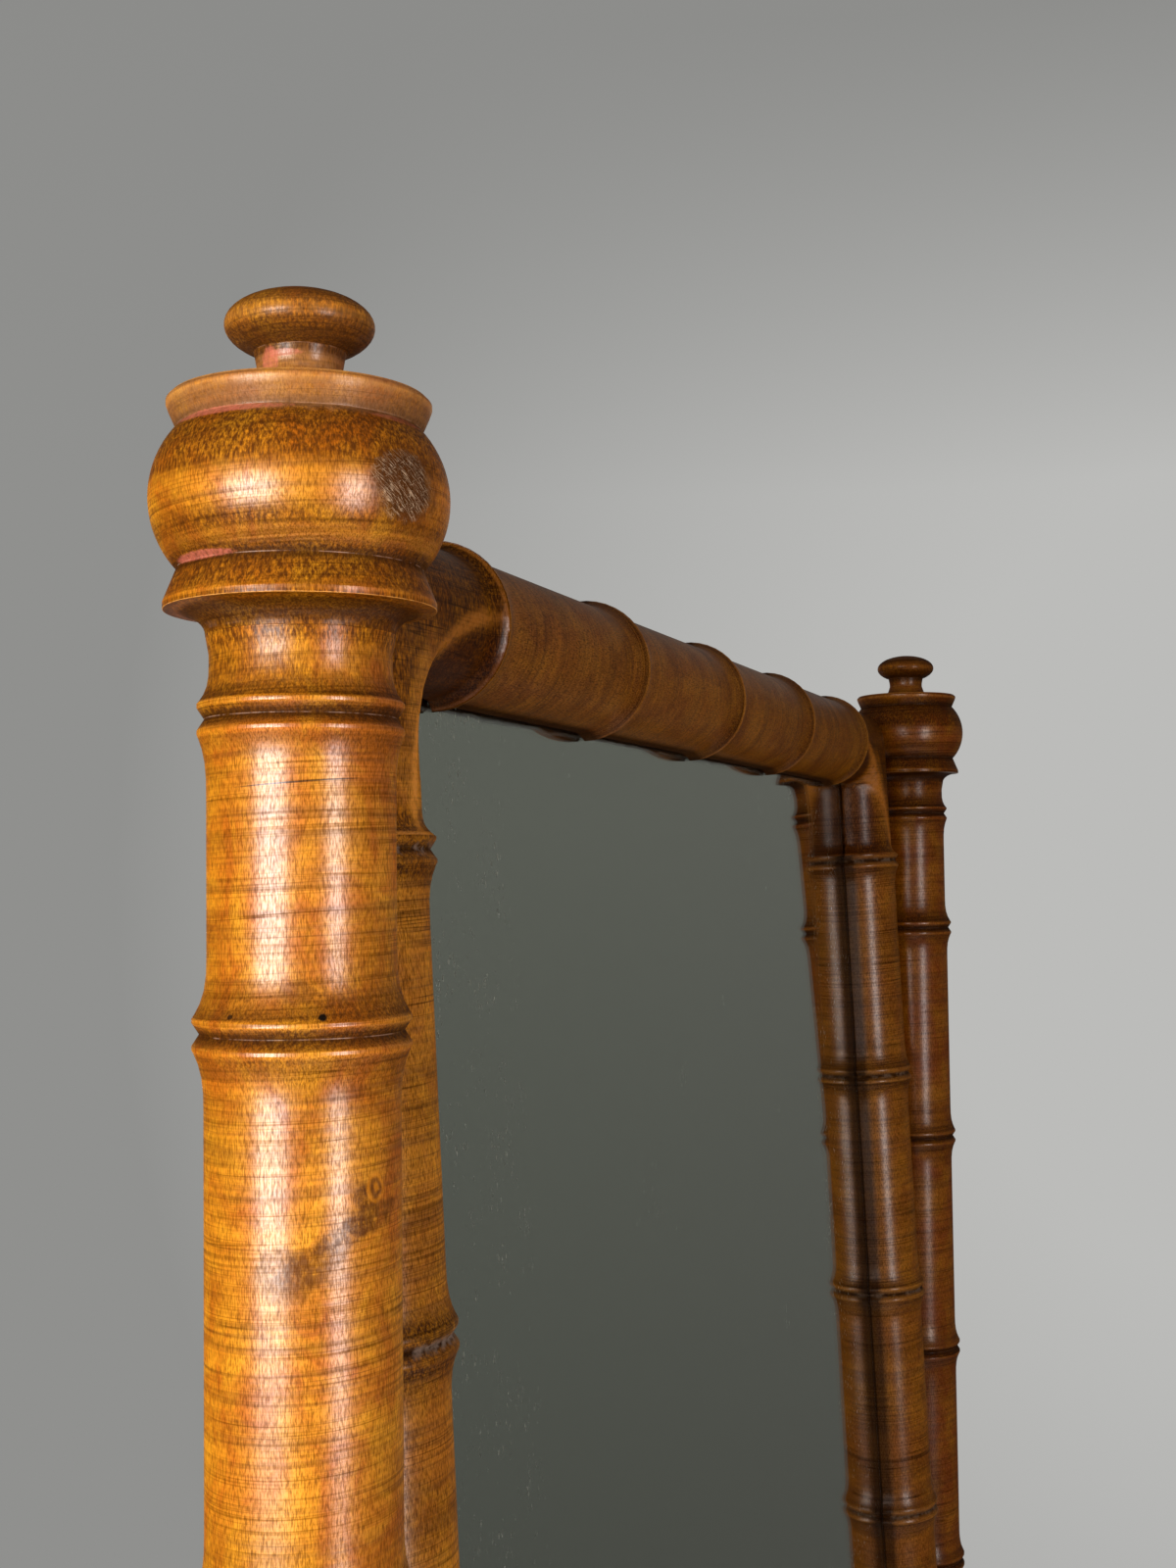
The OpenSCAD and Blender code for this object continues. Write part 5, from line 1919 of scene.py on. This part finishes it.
@dataclass
class Camera:
    """The photographer's place.

    Attributes:
        place: Where the camera stands.
        yaw: Turn to the left from +X, in degrees.
        pitch: Rise of its aim.
        roll: Turn about its aim.
        lens: Focal length in millimetres.
        sensor: Sensor width in millimetres, across the picture's long side.
    """

    place: Triple = (-0.7618, -0.2026, 1.6041)
    yaw: float = 19.742
    pitch: float = 2.820
    roll: float = -0.670
    lens: float = 42.75
    sensor: float = 36.0

    def build(self) -> None:
        """Sets the camera up and makes it the scene's."""
        yaw, pitch, roll = (math.radians(v) for v in (self.yaw, self.pitch, self.roll))
        flat = math.cos(pitch)
        aim = Vector((math.cos(yaw) * flat, math.sin(yaw) * flat, math.sin(pitch)))
        level = Vector((math.sin(yaw), -math.cos(yaw), 0))
        upright = level.cross(aim)
        right = level * math.cos(roll) + upright * math.sin(roll)
        up = upright * math.cos(roll) - level * math.sin(roll)
        lay_down()
        bpy.ops.object.camera_add()
        camera = bpy.context.object
        camera.name = "camera"
        turn = Matrix((right, up, -aim)).transposed().to_4x4()
        camera.matrix_world = Matrix.Translation(self.place) @ turn
        camera.data.sensor_fit = "AUTO"
        camera.data.sensor_width = self.sensor
        camera.data.lens = self.lens
        camera.data.clip_start = 0.02
        camera.data.clip_end = 50
        bpy.context.scene.camera = camera


# The upper left corner, at which the windows face
NEAR_CORNER = (-0.39, 0.0, 1.52)


@dataclass(frozen=True)
class Lamp:
    """A soft lamp.

    Attributes:
        name: Its name.
        place: Its middle.
        target: The point that it faces.
        size: Its width and height.
        power: Its power in watts.
        colour: Its colour.
        shine: Whether polish and glass show it.
    """

    name: str
    place: Triple
    target: Triple
    size: tuple[float, float]
    power: float
    colour: Triple
    shine: bool = True

    def build(self) -> None:
        """Hangs the lamp."""
        lay_down()
        bpy.ops.object.light_add(type="AREA", location=self.place)
        lamp = bpy.context.object
        lamp.name = self.name
        lamp.data.shape = "RECTANGLE"
        lamp.data.size, lamp.data.size_y = self.size
        lamp.data.energy = self.power
        lamp.data.color = self.colour
        lamp.visible_transmission = False
        lamp.visible_glossy = self.shine
        aim = Vector(self.target) - Vector(self.place)
        lamp.rotation_euler = aim.to_track_quat("-Z", "Y").to_euler()


@dataclass
class Studio:
    """Floor, lamps and surroundings.

    Attributes:
        lamps: The soft lamps.
        floor_radius: Radius of the floor.
        floor_edge: Width of the floor's soft edge.
        ambient: Strength of the light from all round.
        wall: Colours of the wall behind the mirror, away from the window and beside it.
        ceiling: Colour above the wall.
        room: Colours of the room that the glass shows, high and low.
        unlit: Colour of the side that the camera stands on.
        sky: Colours of the light from all round, from below and from above.
    """

    lamps: list[Lamp] = field(
        default_factory=lambda: [
            Lamp(
                "warm_window", (-1.97, 0.24, 1.51), NEAR_CORNER, (0.95, 0.80),
                power=25.5, colour=(1.0, 0.99, 0.94),
            ),
            Lamp(
                "pink_window", (-0.97, -1.49, 1.48), NEAR_CORNER, (0.46, 0.95),
                power=12.5, colour=(1.0, 0.93, 0.90),
            ),
            Lamp(
                "warm_fill", (-1.97, 0.24, 1.40), (-0.39, 0.0, 1.30), (1.5, 1.5),
                power=19, colour=(1.0, 0.97, 0.92), shine=False,
            ),
            Lamp(
                "back_fill", (2.25, 1.75, 1.1), (0.0, 0.0, 0.9), (1.6, 1.6),
                power=50, colour=(0.97, 0.98, 1.0), shine=False,
            ),
        ]
    )
    floor_radius: float = 2.6
    floor_edge: float = 0.9
    ambient: float = 0.11
    wall: tuple[Colour, Colour] = (rgb(144, 144, 142), rgb(188, 188, 186))
    ceiling: Colour = rgb(140, 140, 138)
    room: tuple[Colour, Colour] = (rgb(107, 107, 101), rgb(87, 87, 82))
    unlit: Colour = rgb(78, 78, 75)
    sky: tuple[Colour, Colour] = (rgb(225, 214, 204), rgb(250, 250, 252))

    def build(self) -> None:
        """Lays the floor, hangs the lamps and paints the surroundings."""
        for lamp in self.lamps:
            lamp.build()
        self.floor()
        self.surroundings()
        bpy.context.scene.view_settings.view_transform = "Standard"

    def floor(self) -> None:
        """Lays the pale floor."""
        lay_down()
        bpy.ops.mesh.primitive_circle_add(vertices=96, radius=self.floor_radius, fill_type="NGON")
        floor = bpy.context.object
        floor.name = "floor"
        fix_place(floor)
        material, bench, shader = new_material("pale_floor")
        at = bench.add("TexCoord").outputs["Object"]
        far = bench.add("VectorMath", {0: at}, operation="LENGTH").outputs["Value"]
        pale, paler = rgb(206, 204, 200), rgb(214, 212, 209)
        values = {
            "Base Color": bench.blend(bench.noise(at, 3.0, 4.0), pale, paler),
            "Roughness": 0.9,
            "Alpha": bench.ramp(far, self.floor_radius, self.floor_radius - self.floor_edge),
        }
        bench.give(shader, values)
        floor.data.materials.append(material)

    def surroundings(self) -> None:
        """Paints what the camera and the glass see behind, apart from the light on the object."""
        world = bpy.data.worlds.new("studio")
        bpy.context.scene.world = world
        world.use_nodes = True
        tree = world.node_tree
        tree.nodes.clear()
        bench = Bench(tree)
        ray = bench.add("TexCoord").outputs["Generated"]
        rise = bench.add("SeparateXYZ", {0: ray}).outputs["Z"]
        seen = bench.add("LightPath").outputs
        beside = bench.less(1.0, seen["Is Camera Ray"])

        def towards(x: float, y: float, low: float, high: float) -> Socket:
            """Share of the view that looks along a level direction."""
            links = {0: ray, 1: tuple(Vector((x, y, 0)).normalized())}
            near = bench.add("VectorMath", links, operation="DOT_PRODUCT").outputs["Value"]
            return bench.ramp(near, low, high)

        back = bench.blend(towards(1.0, -0.05, 0.80, 0.975), *self.wall)
        back = bench.blend(bench.ramp(rise, 0.20, 0.42, 0.0, 0.95), back, self.ceiling)
        room = bench.blend(bench.ramp(rise, 0.06, -0.32), *self.room)
        back = bench.blend(bench.times(towards(0.45, -0.89, 0.47, 0.60), beside), back, room)
        behind = bench.times(towards(1.0, 0.0, 0.66, 0.50), beside)
        back = bench.blend(behind, back, self.unlit)
        direct = bench.most(seen["Is Camera Ray"], seen["Is Glossy Ray"])
        direct = bench.most(direct, seen["Is Transmission Ray"])
        sky = bench.blend(bench.ramp(rise, -0.4, 0.9), *self.sky)
        light = bench.add("Background", {"Color": sky, "Strength": self.ambient})
        shown = bench.add("Background", {"Color": back, "Strength": 1.0})
        links = {0: direct, 1: light.outputs[0], 2: shown.outputs[0]}
        out = bench.add("OutputWorld", {0: bench.add("MixShader", links).outputs[0]})
        out.is_active_output = True


def main() -> None:
    """Builds the studio, the stand, the mirror and the fittings in order."""
    logging.basicConfig(level=logging.INFO, format="%(name)s: %(message)s")
    Camera().build()
    finishes = Finishes()
    lathe = Lathe()
    near_marks = (NEAR_POST_MARKS, NEAR_FINIAL_MARKS, NEAR_KNOB_MARKS)
    Post(Side.LEFT, lathe, seed=1, marks=near_marks).build(finishes)
    # The far post is painted darker, partly a darker polish and partly painted shade
    Post(Side.RIGHT, lathe, seed=11, tone=0.80).build(finishes)
    Base(Lathe(steps=64)).build(finishes)
    MirrorFrame().build(finishes)
    Glass().build(finishes)
    Fittings().build(finishes)
    Studio().build()
    lay_down()


if __name__ == "__main__":
    main()
